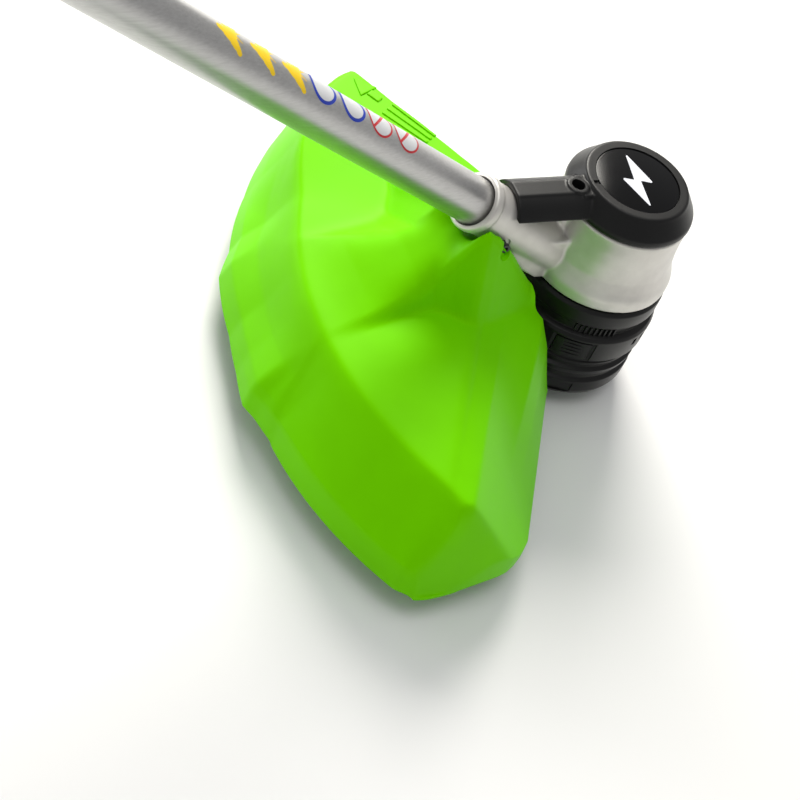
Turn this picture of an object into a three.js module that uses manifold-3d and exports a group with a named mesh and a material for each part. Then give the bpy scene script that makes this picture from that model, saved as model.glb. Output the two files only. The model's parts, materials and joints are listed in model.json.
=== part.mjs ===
// Battery string trimmer: motor head, line spool, guard, shaft, loop handle, rear grip and battery.
// Millimetres, +Z up. The origin is where the bump knob touches the ground, on the spool's spin axis.
// The shaft rises towards +Y, where the operator stands.
import * as THREE from 'three';
import { mergeVertices } from 'three/addons/utils/BufferGeometryUtils.js';
import Module from 'manifold-3d';

const wasm = await Module();
wasm.setup();

const { degToRad, lerp, smoothstep, clamp } = THREE.MathUtils;

// ---------------------------------------------------------------- driving dimensions
const GAP = 0.3; // clearance between touching pieces
const HEAD_Z = 80; // underside of the motor flange above the ground
const SHAFT_ANGLE = degToRad(31.85); // rise of the shaft above the ground plane
const SHAFT_DROP = 9.55; // shaft axis below the flange, on the spin axis

const TUBE_R = 13;
const TUBE_WALL = 1.5;
const TUBE_START = 84; // along the shaft axis, from the spin axis
const TUBE_END = 1300;
const CABLE_R = 4;

const CAN_R = 37.5; // motor housing wall
const CAN_TOP = 47;
const CAN_WALL = 3;
const FLANGE_R = 43.8;
const NECK_R = 15.6; // cast collar around the tube
const LIP_R = 16.6;
const NECK_END = 118;

const CAP_RIM_R = 29;
const CAP_TOP = 62;
const BADGE_R = 24.7;
const ARM_R = 18.4;
const ARM_END_Y = 77.8; // upright end face of the cap's arm
const ARM_HALF = 5.6; // half width of the arm's flat top
const ARM_TOP = 60;
const ARM_LOW = 49.5; // lower edges of the arm's sides

const CAP_SCREW_Y = 38; // screw that holds the cap's arm
const CAP_SCREW_SEAT = 52;
const CAP_SCREW_LOW = 34;
const SCREW_BOSS_R = 5;
const CLAMP_S = 92; // screws that pinch the tube in its collar
const CLAMP_DROP = -6;
const WEB_HALF = 14.4; // half width of the web under the collar
const SIDES = [1, -1];

const MOTOR_SHAFT_R = 4;
const STATOR_R = 23;
const BELL_R = 31;
const BEARING_R = 11;
const BOSS_TOP = 36;

const HEAD_R = 46.3; // widest band of the spool head
const COVER_SPLIT = -52.5; // spool housing above, cover below
const COVER_BOTTOM = -72;
const SPOOL_AXLE_R = 9;
const EYELET_Z = -30;
const KNOB_R = 24;
const LATCH_ANGLE = degToRad(62); // from +Y towards -X
const LATCH_Z = -32;

const GUARD_FROM = -60; // degrees from +Y towards -X
const GUARD_TO = 60;
const GUARD_INNER_R = 53;
const GUARD_RIM_Z = -64;
const GUARD_WALL = 2.8;
const GUARD_SCREWS = [64, 79]; // along the shaft
const GUARD_BOSS_DROP = 29; // bottom of the guard's screw bosses below the shaft axis
const CUTTER_SCREWS = [148, 168];

const HANDLE_S = 930; // loop handle along the shaft
const LOOP_R = 8.5;
const BOLT_X = 20;
const HANGER_S = 1190;
const HANGER_EYE = -24;
const GRIP_S = 1290; // front of the rear housing
const GRIP_LENGTH = 160;
const GRIP_R = 20;
const TRIGGER_S = GRIP_S + 38;
const BAY_S = GRIP_S + GRIP_LENGTH - 6;
const BAY_DIVIDER = BAY_S + 48;
const BAY_END = BAY_S + 138;
const BAY_HALF_WIDTH = 45;
const BAY_TOP = 42;
const BAY_BOTTOM = -60;
const BATTERY_END = BAY_END + 74;
const SHELL = 3;
const LATCH_S = BAY_END - 40;
const CELL_PITCH = 18.4;
const POSTS = [[GRIP_S + 22, -16, 18.5], [GRIP_S + 141, -8, 18.5], [BAY_S + 11, -49, 43.5]];

// ---------------------------------------------------------------- geometry helpers
const toSolid = (geometry) => {
	const bare = geometry.clone();
	for (const name of ['normal', 'uv', 'color']) bare.deleteAttribute(name);
	const merged = mergeVertices(bare, 1e-4);
	return new wasm.Manifold(new wasm.Mesh({
		numProp: 3,
		vertProperties: new Float32Array(merged.attributes.position.array),
		triVerts: new Uint32Array(merged.index.array),
	}));
};

const toGeometry = (solid) => {
	const mesh = solid.getMesh();
	const geometry = new THREE.BufferGeometry();
	geometry.setAttribute('position', new THREE.BufferAttribute(new Float32Array(mesh.vertProperties), 3));
	geometry.setIndex(new THREE.BufferAttribute(new Uint32Array(mesh.triVerts), 1));
	geometry.computeVertexNormals();
	return geometry;
};

const join = (...parts) => toGeometry(parts.map(toSolid).reduce((sum, part) => sum.add(part)));

const cut = (body, ...tools) =>
	toGeometry(tools.map(toSolid).reduce((rest, tool) => rest.subtract(tool), toSolid(body)));

const common = (a, b) => toGeometry(toSolid(a).intersect(toSolid(b)));

const moved = (geometry, x, y, z) => geometry.translate(x, y, z);

// A solid of revolution about Z. The profile is [radius, height] pairs, anticlockwise.
const turned = (profile, segments = 24) => {
	const points = profile.map(([r, z]) => new THREE.Vector2(r, z));
	return new THREE.LatheGeometry(points, segments).rotateX(Math.PI / 2);
};

const ring = (outer, inner, low, high, segments = 24) =>
	turned([[inner, low], [outer, low], [outer, high], [inner, high], [inner, low]], segments);

const disc = (radius, low, high, segments = 24) =>
	turned([[0, low], [radius, low], [radius, high], [0, high]], segments);

// Rods along an axis, from low to high on that axis.
const rodZ = (radius, low, high, segments = 20) => disc(radius, low, high, segments);
const rodY = (radius, low, high, segments = 20) => disc(radius, low, high, segments).rotateX(-Math.PI / 2);
const rodX = (radius, low, high, segments = 20) => disc(radius, low, high, segments).rotateY(Math.PI / 2);

// A block between two corners.
const block = (x0, y0, z0, x1, y1, z1) =>
	moved(new THREE.BoxGeometry(x1 - x0, y1 - y0, z1 - z0), (x0 + x1) / 2, (y0 + y1) / 2, (z0 + z1) / 2);

const roundedShape = (u0, v0, u1, v1, r) => {
	const shape = new THREE.Shape();
	shape.absarc(u1 - r, v0 + r, r, -Math.PI / 2, 0);
	shape.absarc(u1 - r, v1 - r, r, 0, Math.PI / 2);
	shape.absarc(u0 + r, v1 - r, r, Math.PI / 2, Math.PI);
	shape.absarc(u0 + r, v0 + r, r, Math.PI, Math.PI * 1.5);
	return shape;
};

const outline = (pairs) => new THREE.Shape(pairs.map(([u, v]) => new THREE.Vector2(u, v)));

// A side outline in the YZ plane, extruded to the same width on both sides of x = 0.
const sideways = (shape, halfWidth, round = 0, inset = 0, curveSegments = 2) => {
	const geometry = new THREE.ExtrudeGeometry(shape, {
		depth: 2 * (halfWidth - round),
		bevelEnabled: round > 0 || inset > 0,
		bevelThickness: round,
		bevelSize: round,
		bevelOffset: -round - inset,
		bevelSegments: 2,
		curveSegments,
	});
	return moved(geometry, 0, 0, round - halfWidth).rotateX(Math.PI / 2).rotateZ(Math.PI / 2);
};

// A flat outline in the XY plane, extruded upwards.
const upwards = (shape, low, high, curveSegments = 4) =>
	moved(new THREE.ExtrudeGeometry(shape, { depth: high - low, bevelEnabled: false, curveSegments }), 0, 0, low);

const swept = (curve, radius, steps, sides) => {
	const section = new THREE.Shape();
	section.absarc(0, 0, radius, 0, Math.PI * 2);
	return new THREE.ExtrudeGeometry(section, { steps, curveSegments: sides / 2, extrudePath: curve });
};

class Helix extends THREE.Curve {
	constructor(radius, low, high, turns) {
		super();
		Object.assign(this, { radius, low, high, turns });
	}

	getPoint(t, target = new THREE.Vector3()) {
		const angle = t * this.turns * Math.PI * 2;
		const height = lerp(this.low, this.high, t);
		return target.set(this.radius * Math.cos(angle), this.radius * Math.sin(angle), height);
	}
}

const coil = (radius, wire, low, high, turns) =>
	swept(new Helix(radius, low, high, turns), wire, turns * 9, 6);

// A block whose grid of points is put anywhere: across and along run 0 to 1, deep is 0 or 1.
const warped = (columns, rows, place) => {
	const geometry = new THREE.BoxGeometry(1, 1, 1, columns, rows, 1);
	const position = geometry.attributes.position;
	for (let i = 0; i < position.count; i += 1) {
		const point = place(position.getX(i) + 0.5, position.getY(i) + 0.5, position.getZ(i) + 0.5);
		position.setXYZ(i, point.x, point.y, point.z);
	}
	return geometry;
};

// ---------------------------------------------------------------- scene
const group = new THREE.Group();
group.name = 'string_trimmer';

const headFrame = new THREE.Group(); // z = 0 at the underside of the motor flange
headFrame.position.z = HEAD_Z;
const shaftFrame = new THREE.Group(); // +Y along the shaft, +Z square to it
shaftFrame.position.z = HEAD_Z - SHAFT_DROP;
shaftFrame.rotation.x = SHAFT_ANGLE;
group.add(headFrame, shaftFrame);

const finish = (color, roughness, metalness = 0) =>
	new THREE.MeshStandardMaterial({ color, roughness, metalness });

const castMetal = finish(0xb9b6ae, 0.42, 0.75);
const tubeMetal = finish(0xa9a9a6, 0.35, 0.8);
const steel = finish(0x9a9c9f, 0.3, 0.95);
const darkSteel = finish(0x33353a, 0.4, 0.8);
const blackPlastic = finish(0x141414, 0.55);
const glossBlack = finish(0x08080a, 0.18);
const greenPlastic = finish(0x4fd000, 0.42);
const rubber = finish(0x1b1b1c, 0.85);
const copper = finish(0xb4602c, 0.35, 0.85);
const lineOrange = finish(0xe85a10, 0.45);
const greyPlastic = finish(0x55585a, 0.6);
const cellBlue = finish(0x2d5f8f, 0.5);

const put = (frame, name, geometry, material) => {
	const mesh = new THREE.Mesh(geometry, material);
	mesh.name = name;
	frame.add(mesh);
	return mesh;
};

const inHead = (name, geometry, material) => put(headFrame, name, geometry, material);
const onShaft = (name, geometry, material) => put(shaftFrame, name, geometry, material);

// Moves geometry made in the shaft's frame into the head's frame, for cuts between the two.
const shaftToHead = (geometry) => moved(geometry.rotateX(SHAFT_ANGLE), 0, 0, -SHAFT_DROP);

// Height of the underside of the collar over a point on the ground, in the head's frame.
const collarUnderside = (y) => y * Math.tan(SHAFT_ANGLE) - SHAFT_DROP - LIP_R / Math.cos(SHAFT_ANGLE);

// ---------------------------------------------------------------- motor housing and cap
const canShape = (extra) => turned([
	[0, 0], [FLANGE_R - 1 + extra, 0], [FLANGE_R + extra, 1], [FLANGE_R + extra, 7], [41.5 + extra, 13],
	[39.5 + extra, 19], [38 + extra, 28], [CAN_R + extra, 37], [CAN_R + extra, CAN_TOP + extra],
	[0, CAN_TOP + extra],
], 36);

const motorHousing = () => {
	const can = canShape(0);
	const neck = shaftToHead(rodY(NECK_R, 20, NECK_END - 5, 24));
	const lip = shaftToHead(rodY(LIP_R, NECK_END - 6, NECK_END, 24));
	const under = (y) => [y, collarUnderside(y) + 0.6];
	const web = sideways(outline([[20, 0.6], under(48), under(60), under(76), [66, 30], [20, 30]]), WEB_HALF);
	const cavity = disc(CAN_R - CAN_WALL, 5, CAN_TOP + 1, 36);
	const bearingBoss = disc(BEARING_R + 3, 4, BOSS_TOP, 24);
	const bearingSeat = disc(BEARING_R + GAP, 4.6, BOSS_TOP + 1, 24);
	const shaftHole = disc(MOTOR_SHAFT_R + 1.5, -1, 6, 20);
	const tubeBore = shaftToHead(rodY(TUBE_R + GAP, TUBE_START - GAP, NECK_END + 1, 24));
	const cableWay = shaftToHead(rodY(CABLE_R + 2, 30, TUBE_START + 2, 12));
	const guardHoles = GUARD_SCREWS.map((s) => shaftToHead(moved(rodZ(2.3, -24, -8, 10), 0, s, 0)));
	const clampHole = rodX(3.3, -4, 4, 12);
	const clampHoles = SIDES.map((side) => shaftToHead(moved(clampHole.clone(), side * 17, CLAMP_S, CLAMP_DROP)));
	const capHole = moved(rodZ(2.1, CAP_SCREW_LOW - 1, CAN_TOP + 3, 10), 0, CAP_SCREW_Y, 0);
	const belowFlange = block(-60, -60, -40, 60, 90, 0);
	const screwBoss = moved(rodZ(SCREW_BOSS_R, 20, CAN_TOP, 20), 0, CAP_SCREW_Y, 0);
	const shell = join(cut(join(can, neck, lip, web), cavity, belowFlange), bearingBoss, screwBoss);
	return cut(shell, bearingSeat, shaftHole, tubeBore, cableWay, capHole, ...guardHoles, ...clampHoles);
};

const capCavity = () => turned([[0, 40], [33.6, 40], [33.6, 50], [26, 57], [0, 57]], 32);

const topCap = () => {
	const dome = turned([
		[0, 57], [26, 57], [33.6, 50], [33.6, CAN_TOP + GAP], [36.9, CAN_TOP + GAP], [37.6, CAN_TOP + 2.5],
		[CAP_RIM_R + 1, CAP_TOP - 0.8], [CAP_RIM_R, CAP_TOP], [BADGE_R + GAP, CAP_TOP], [BADGE_R + GAP, 60], [0, 60],
	], 32);
	// The arm runs level. Its section is the one that fits over the collar at the arm's end.
	const axisHeight = ARM_END_Y * Math.tan(SHAFT_ANGLE) - SHAFT_DROP;
	const rise = ARM_R / Math.cos(SHAFT_ANGLE);
	const lowHalf = ARM_R * Math.sqrt(1 - ((ARM_LOW - axisHeight) / rise) ** 2);
	const roofSide = [lowHalf, 13.5, 10.5, 8, ARM_HALF].map((x) =>
		[x, Math.min(ARM_TOP, axisHeight + rise * Math.sqrt(1 - (x / ARM_R) ** 2))]);
	const roofSection = outline([...roofSide, ...roofSide.map(([x, z]) => [-x, z]).reverse()]);
	const roof = upwards(roofSection, -ARM_END_Y, -20).rotateX(Math.PI / 2);
	const bridge = block(-ARM_HALF, 22, 42, ARM_HALF, ARM_END_Y - 0.4, ARM_TOP);
	const screwRing = moved(rodZ(ARM_HALF + 0.6, 44, ARM_TOP + 0.6, 20), 0, CAP_SCREW_Y, 0);
	const neck = shaftToHead(rodY(NECK_R + GAP, 10, NECK_END, 24));
	const can = canShape(GAP);
	const web = block(-WEB_HALF - GAP, 10, 0, WEB_HALF + GAP, 70, 30 + GAP);
	const boss = moved(rodZ(SCREW_BOSS_R + GAP, 10, CAN_TOP + GAP, 20), 0, CAP_SCREW_Y, 0);
	const badgeSeat = disc(BADGE_R + GAP, 59, 63, 36);
	const arm = cut(join(roof, bridge, screwRing), neck, can, web, boss, capCavity(), badgeSeat);
	const screwWell = moved(rodZ(4.1, CAP_SCREW_SEAT, 70, 16), 0, CAP_SCREW_Y, 0);
	const screwHole = moved(rodZ(2.1, 30, 60, 10), 0, CAP_SCREW_Y, 0);
	return cut(join(dome, arm), screwWell, screwHole);
};

// A screw along Z with its head's underside at z = 0 and a round socket in the head.
const screw = (shankR, length, headR, headHeight) => turned([
	[0, -length], [shankR, -length], [shankR, 0], [headR, 0], [headR, headHeight],
	[headR * 0.5, headHeight], [headR * 0.5, headHeight * 0.45], [0, headHeight * 0.45],
], 8);

inHead('motor_housing', motorHousing(), castMetal);
inHead('top_cap', topCap(), blackPlastic);
inHead('cap_badge', disc(BADGE_R, 60 + GAP, CAP_TOP - 0.3, 40), glossBlack);
const capScrew = inHead('cap_screw', screw(1.8, CAP_SCREW_SEAT - CAP_SCREW_LOW, 3.8, 3), darkSteel);
capScrew.position.set(0, CAP_SCREW_Y, CAP_SCREW_SEAT + GAP);
for (const [name, side] of [['left', 1], ['right', -1]]) {
	const geometry = screw(2.2, 3.2, 3, 2).rotateY(side * Math.PI / 2);
	onShaft(`tube_clamp_screw_${name}`, geometry, darkSteel).position.set(side * 17.2, CLAMP_S, CLAMP_DROP);
}

// ---------------------------------------------------------------- motor
const toothedDisc = (inner, root, tip, teeth, low, high) => {
	const corners = [[root, -0.28], [tip, -0.4], [tip, 0.4], [root, 0.28]];
	const points = [];
	for (let tooth = 0; tooth < teeth; tooth += 1) {
		for (const [radius, share] of corners) {
			const angle = (tooth + share) * Math.PI * 2 / teeth;
			points.push(new THREE.Vector2(radius * Math.cos(angle), radius * Math.sin(angle)));
		}
	}
	const shape = new THREE.Shape(points);
	const hole = new THREE.Path();
	hole.absarc(0, 0, inner, 0, Math.PI * 2, true);
	shape.holes.push(hole);
	return upwards(shape, low, high, 8);
};

inHead('stator_core', toothedDisc(BEARING_R + 3.3, 18, STATOR_R, 9, 17, 34), steel);
inHead('stator_windings', toothedDisc(BEARING_R + 3.5, 19, STATOR_R - 0.6, 9, 34 + GAP, 39), copper);
inHead('lower_bearing', ring(BEARING_R, MOTOR_SHAFT_R + GAP, 5, 12, 20), steel);
inHead('upper_bearing', ring(BEARING_R, MOTOR_SHAFT_R + GAP, BOSS_TOP - 7, BOSS_TOP, 20), steel);
inHead('rotor_bell', turned([
	[MOTOR_SHAFT_R + GAP, 40.6], [BELL_R - 3, 40.6], [BELL_R - 3, 15], [BELL_R, 15], [BELL_R, 44],
	[MOTOR_SHAFT_R + GAP, 44], [MOTOR_SHAFT_R + GAP, 40.6],
]), darkSteel);
inHead('magnet_ring', ring(BELL_R - 3.3, STATOR_R + 1.6, 16, 37, 30), steel);
inHead('motor_shaft', rodZ(MOTOR_SHAFT_R, -51, 46), steel);

// ---------------------------------------------------------------- spool head
const aboutHead = (geometry, angle) => geometry.rotateZ(angle);

const spoolHousing = () => {
	const body = turned([
		[MOTOR_SHAFT_R + GAP, -50], [SPOOL_AXLE_R, -50], [SPOOL_AXLE_R, -6], [39.3, -6], [39.3, COVER_SPLIT],
		[43, COVER_SPLIT], [45.6, COVER_SPLIT + 1], [45.8, -48.5], [43.2, -47], [43, -40], [HEAD_R, -38.5],
		[HEAD_R, -23], [44.8, -21], [41.8, -20], [41.8, -13.5], [44.5, -12.5], [44.3, -3], [42.5, -1.2],
		[MOTOR_SHAFT_R + GAP, -1.2], [MOTOR_SHAFT_R + GAP, -50],
	], 32);
	const tools = [];
	for (const turn of [0, Math.PI]) {
		const window = block(-11, 36, LATCH_Z - 6.5, 11, 50, LATCH_Z + 6.5);
		tools.push(aboutHead(window, LATCH_ANGLE + turn));
		tools.push(aboutHead(moved(rodX(5, 36, 50, 16), 0, 0, EYELET_Z), LATCH_ANGLE + turn));
	}
	return cut(body, ...tools);
};

const spoolCover = () => turned([
	[KNOB_R + 0.8, COVER_BOTTOM], [41, COVER_BOTTOM], [45, -68.5], [46, -66], [46, -58], [43.4, -56.5],
	[43.2, COVER_SPLIT - GAP], [39.5, COVER_SPLIT - GAP], [39.5, COVER_BOTTOM + 3.4],
	[KNOB_R + 0.8, COVER_BOTTOM + 3.4], [KNOB_R + 0.8, COVER_BOTTOM],
], 32);

const coverLatch = () => {
	const band = ring(HEAD_R - 0.8, 41.8, LATCH_Z - 6.2, LATCH_Z + 6.2, 64);
	return common(band, block(-10.7, 36, -60, 10.7, 50, 0));
};

const eyelet = () => turned([
	[2.2, 40.5], [4.6, 40.5], [4.6, 46.5], [5.8, 46.5], [5.8, 47.1], [2.2, 47.1], [2.2, 40.5],
], 16).rotateY(Math.PI / 2);

const bumpKnob = () => turned([
	[0, -HEAD_Z], [16, -HEAD_Z], [22, -77.5], [KNOB_R, -73], [KNOB_R, -68.2], [KNOB_R + 3, -68.2],
	[KNOB_R + 3, -65.5],
	[20, -65.5], [20, -75.5], [8, -75.5], [8, -66], [0, -66],
]);

inHead('spool_housing', spoolHousing(), blackPlastic);
inHead('spool_cover', spoolCover(), blackPlastic);
inHead('line_spool', turned([
	[SPOOL_AXLE_R + 0.6, -57], [37, -57], [37, -55], [15, -55], [15, -22], [37, -22], [37, -20],
	[SPOOL_AXLE_R + 0.6, -20], [SPOOL_AXLE_R + 0.6, -57],
]), greyPlastic);
inHead('wound_line', ring(33, 15 + GAP, -55 + GAP, -22 - GAP), lineOrange);
inHead('bump_knob', bumpKnob(), blackPlastic);
inHead('bump_spring', coil(14, 1, -73.8, -58.6, 4), steel);
for (const [name, turn] of [['left', Math.PI], ['right', 0]]) {
	inHead(`cover_latch_${name}`, aboutHead(coverLatch(), LATCH_ANGLE + turn), blackPlastic);
	inHead(`line_eyelet_${name}`, aboutHead(moved(eyelet(), 0, 0, EYELET_Z), LATCH_ANGLE + turn), steel);
}

// ---------------------------------------------------------------- guard
// Bearings are measured from +Y towards -X, in degrees. One wing is longer and reaches further out.

// Distance of a point from the line along an end wall's foot.
const fromEnd = (x, y, bearing) => {
	const angle = degToRad(bearing);
	return Math.abs(x * Math.cos(angle) + y * Math.sin(angle));
};

// Straight pieces through [distance, height] pairs, carried on past the last one.
const slope = (distance, pairs) => {
	const next = Math.max(1, pairs.findIndex(([d]) => d >= distance));
	const [[d0, z0], [d1, z1]] = distance > pairs.at(-1)[0] ? pairs.slice(-2) : pairs.slice(next - 1, next + 1);
	return z0 + (distance - d0) * (z1 - z0) / (d1 - d0);
};

// [bearing, radius] pairs along the rim.
const RIM = [
	[-60, 194], [-58, 201], [-55, 205.5], [-51, 205.5], [-46, 203], [-36, 199.5], [-22, 199.5], [-16, 205],
	[-4, 205], [3, 209], [9, 215], [11.5, 213], [16, 213], [43, 231.5], [46, 229.5], [47.5, 225], [51, 211],
	[54, 200], [56, 193], [57, 189], [58, 183], [59, 175], [60, 164],
];
const rimRadius = (bearing) => slope(bearing, RIM);

const softMin = (...heights) => -3 * Math.log(heights.reduce((sum, z) => sum + Math.exp(-z / 3), 0));
const softMax = (...heights) => 3 * Math.log(heights.reduce((sum, z) => sum + Math.exp(z / 3), 0));

// Distance from the spin axis with the height of the mound's middle, of its edges, and its half width.
const MOUND_MIDDLE = [
	[40, -8], [50, 0], [100, 31.5], [107, 28], [117, 21], [126, 15], [140, 8], [152, 2], [172, -6],
];
const MOUND_EDGE = [
	[50, 1], [52.6, 3], [60.8, 13], [68, 22], [74.8, 30], [80, 36], [87, 43], [95, 48], [99, 46], [104, 38],
	[109, 28], [117, 16], [126, 9.5], [140, 4], [152, 0], [172, -7],
];
const MOUND_HALF = [
	[50, 17.5], [95, 17.5], [107, 17], [117, 18.5], [126, 21.5], [140, 25], [152, 28], [172, 32],
];
const MOUND_SHOULDER = 4; // width of the gentle strip beside each crest

const guardHeight = (x, y) => {
	const radius = Math.hypot(x, y);
	const bearing = Math.atan2(-x, y) * 180 / Math.PI;
	const steep = 1 - smoothstep(bearing, -45, -20); // the skirt stands upright towards the short end
	const plate = -1 + steep - 6 * (1 - steep) * smoothstep(radius, 110, 210);
	// The mound cradles the collar between two crests, then falls away from it.
	const middle = Math.min(slope(y, MOUND_MIDDLE), collarUnderside(y) - 1.4);
	const edge = slope(y, MOUND_EDGE);
	const half = slope(y, MOUND_HALF);
	const share = Math.min(1, Math.abs(x) / half) ** 3;
	const beside = Math.max(0, Math.abs(x) - half);
	const fall = x < 0 ? 0.9 * Math.min(beside, MOUND_SHOULDER) + 2.5 * Math.max(0, beside - MOUND_SHOULDER)
		: 0.7 * beside;
	const mound = lerp(middle, edge, share) - fall - 1;
	const inward = rimRadius(bearing) - radius;
	const rounded = slope(inward, [[0, GUARD_RIM_Z], [4, -50], [14, -36], [27, -5], [34, 12]]);
	const straight = slope(inward, [[0, GUARD_RIM_Z], [1.5, -46], [27, -7], [34, 8]]);
	const upright = slope(inward, [[0, GUARD_RIM_Z], [6, -40], [18, -2], [22, 16]]);
	const skirt = lerp(lerp(rounded, straight, smoothstep(bearing, -5, 22)), upright, steep);
	const reach = fromEnd(x, y, GUARD_TO);
	const tall = slope(reach, [[0, GUARD_RIM_Z], [13, -30], [22, -14], [47, -5], [58, -1], [66, 12]]);
	const broad = slope(reach, [[0, GUARD_RIM_Z], [45, -10], [57, -4], [70, 12]]);
	const longEnd = lerp(tall, broad, smoothstep(radius, 60, 150));
	const corner = slope(x + 164.5, [[0, GUARD_RIM_Z], [13, -8], [17, 9]]);
	const shortEnd = slope(fromEnd(x, y, GUARD_FROM), [[0, GUARD_RIM_Z], [4, -2], [7, 30]]);
	return softMax(softMin(plate, skirt, longEnd, corner, shortEnd), softMin(mound, skirt, corner, shortEnd));
};

// A column of the guard runs straight from its inner edge to its rim. Near the long end wall the
// columns turn to follow the wall's ridge.
const guardPlan = (across, out) => {
	const rimBearing = lerp(GUARD_FROM, GUARD_TO, across);
	const ridge = 0.9;
	const innerBearing = across < ridge
		? lerp(GUARD_FROM, 14, Math.pow(across / ridge, 0.8))
		: lerp(14, GUARD_TO, (across - ridge) / (1 - ridge));
	const at = (radius, bearing) => [-radius * Math.sin(degToRad(bearing)), radius * Math.cos(degToRad(bearing))];
	const [x0, y0] = at(GUARD_INNER_R, innerBearing);
	const [x1, y1] = at(rimRadius(rimBearing), rimBearing);
	return [lerp(x0, x1, out), lerp(y0, y1, out)];
};

const guardPoint = (across, out) => {
	const [x, y] = guardPlan(across, out);
	return new THREE.Vector3(x, y, guardHeight(x, y));
};

const guardNormal = (across, out) => {
	const h = 0.004;
	const a = clamp(across, h, 1 - h);
	const b = clamp(out, h, 1 - h);
	const du = guardPoint(a + h, b).sub(guardPoint(a - h, b));
	const dv = guardPoint(a, b + h).sub(guardPoint(a, b - h));
	const normal = du.cross(dv).normalize();
	return normal.z < 0 ? normal.negate() : normal;
};

const guardShell = () => {
	// Rows crowd towards the rim and columns towards the end walls, where the surface bends most.
	const crowdRim = (v) => 1 - Math.pow(1 - v, 1.7);
	const crowdEnds = (u) => u - 0.06 * Math.sin(2 * Math.PI * u);
	const skin = warped(28, 14, (u, v, w) => {
		const across = crowdEnds(1 - u);
		const out = crowdRim(v);
		const outer = guardPoint(across, out);
		return w > 0.5 ? outer : outer.addScaledVector(guardNormal(across, out), -GUARD_WALL);
	});
	const along = (radius, low, high) =>
		GUARD_SCREWS.map((s) => shaftToHead(moved(rodZ(radius, low, high, 12), 0, s, 0)));
	const bossed = join(skin, ...along(5, -GUARD_BOSS_DROP, -20));
	const under = (y) => [y, collarUnderside(y) + 0.6 - GAP];
	const webRoom = sideways(outline([[30, -12], under(48), under(77), [77, 45], [30, 45]]), WEB_HALF + GAP);
	const collarRoom = shaftToHead(rodY(LIP_R + GAP, 30, NECK_END + 6, 32));
	const clampRooms = SIDES.map((side) =>
		shaftToHead(moved(rodX(4.6, -9, 9, 16), side * 20, CLAMP_S, CLAMP_DROP)));
	// Each boss has a hole for its screw, and the skin below the boss is cleared for the screw's head.
	const holes = [...along(2.4, -40, -14), ...along(4.6, -44, -GUARD_BOSS_DROP)];
	return cut(bossed, webRoom, collarRoom, ...clampRooms, ...holes);
};

inHead('guard_shell', guardShell(), greenPlastic);

const guardScrews = () => {
	GUARD_SCREWS.forEach((s, index) => {
		const body = screw(2, GUARD_BOSS_DROP - 12, 3.9, 2.6).rotateX(Math.PI);
		onShaft(`guard_screw_${index + 1}`, body, darkSteel).position.set(0, s, -GUARD_BOSS_DROP - GAP);
	});
};

// The line cutter stands inside the short end wall. Its frame runs outwards along that wall.
const lineCutter = () => {
	const frame = new THREE.Group();
	frame.rotation.z = degToRad(GUARD_FROM);
	headFrame.add(frame);
	const inside = -(GUARD_WALL + 5.4);
	const plate = block(inside - 1.6, 138, -58, inside, 178, -42);
	const tooth = block(inside - 13, 138, -58, inside - 0.8, 139.6, -46);
	const holes = CUTTER_SCREWS.map((along) => rodX(1.9, inside - 4, inside + 2, 10).translate(0, along, -50));
	put(frame, 'line_cutter', cut(join(plate, tooth), ...holes), steel);
	CUTTER_SCREWS.forEach((along, index) => {
		const body = screw(1.6, 3.4, 3, 2).rotateY(-Math.PI / 2);
		put(frame, `cutter_screw_${index + 1}`, body, darkSteel).position.set(inside - 1.6 - GAP, along, -50);
	});
};

guardScrews();
lineCutter();

// ---------------------------------------------------------------- shaft
const shaftTube = ring(TUBE_R, TUBE_R - TUBE_WALL, TUBE_START, TUBE_END, 32).rotateX(-Math.PI / 2);
onShaft('shaft_tube', shaftTube, tubeMetal);
onShaft('motor_cable', rodY(CABLE_R, 46, TUBE_END + 6, 12), rubber);

// ---------------------------------------------------------------- loop handle
const loopCurve = () => {
	const side = [[26, 0, 20], [55, 1, 30], [76, 3, 62], [76, 6, 100], [52, 9, 130], [18, 10, 138]];
	const right = side.map(([x, y, z]) => new THREE.Vector3(x, HANDLE_S + y, z));
	const left = side.map(([x, y, z]) => new THREE.Vector3(-x, HANDLE_S + y, z)).reverse();
	return new THREE.CatmullRomCurve3([...right, ...left]);
};

// Part of a curve, as a curve.
class Stretch extends THREE.Curve {
	constructor(whole, from, to) {
		super();
		Object.assign(this, { whole, from, to });
	}

	getPoint(t, target = new THREE.Vector3()) {
		return this.whole.getPointAt(lerp(this.from, this.to, t), target);
	}
}

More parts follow.
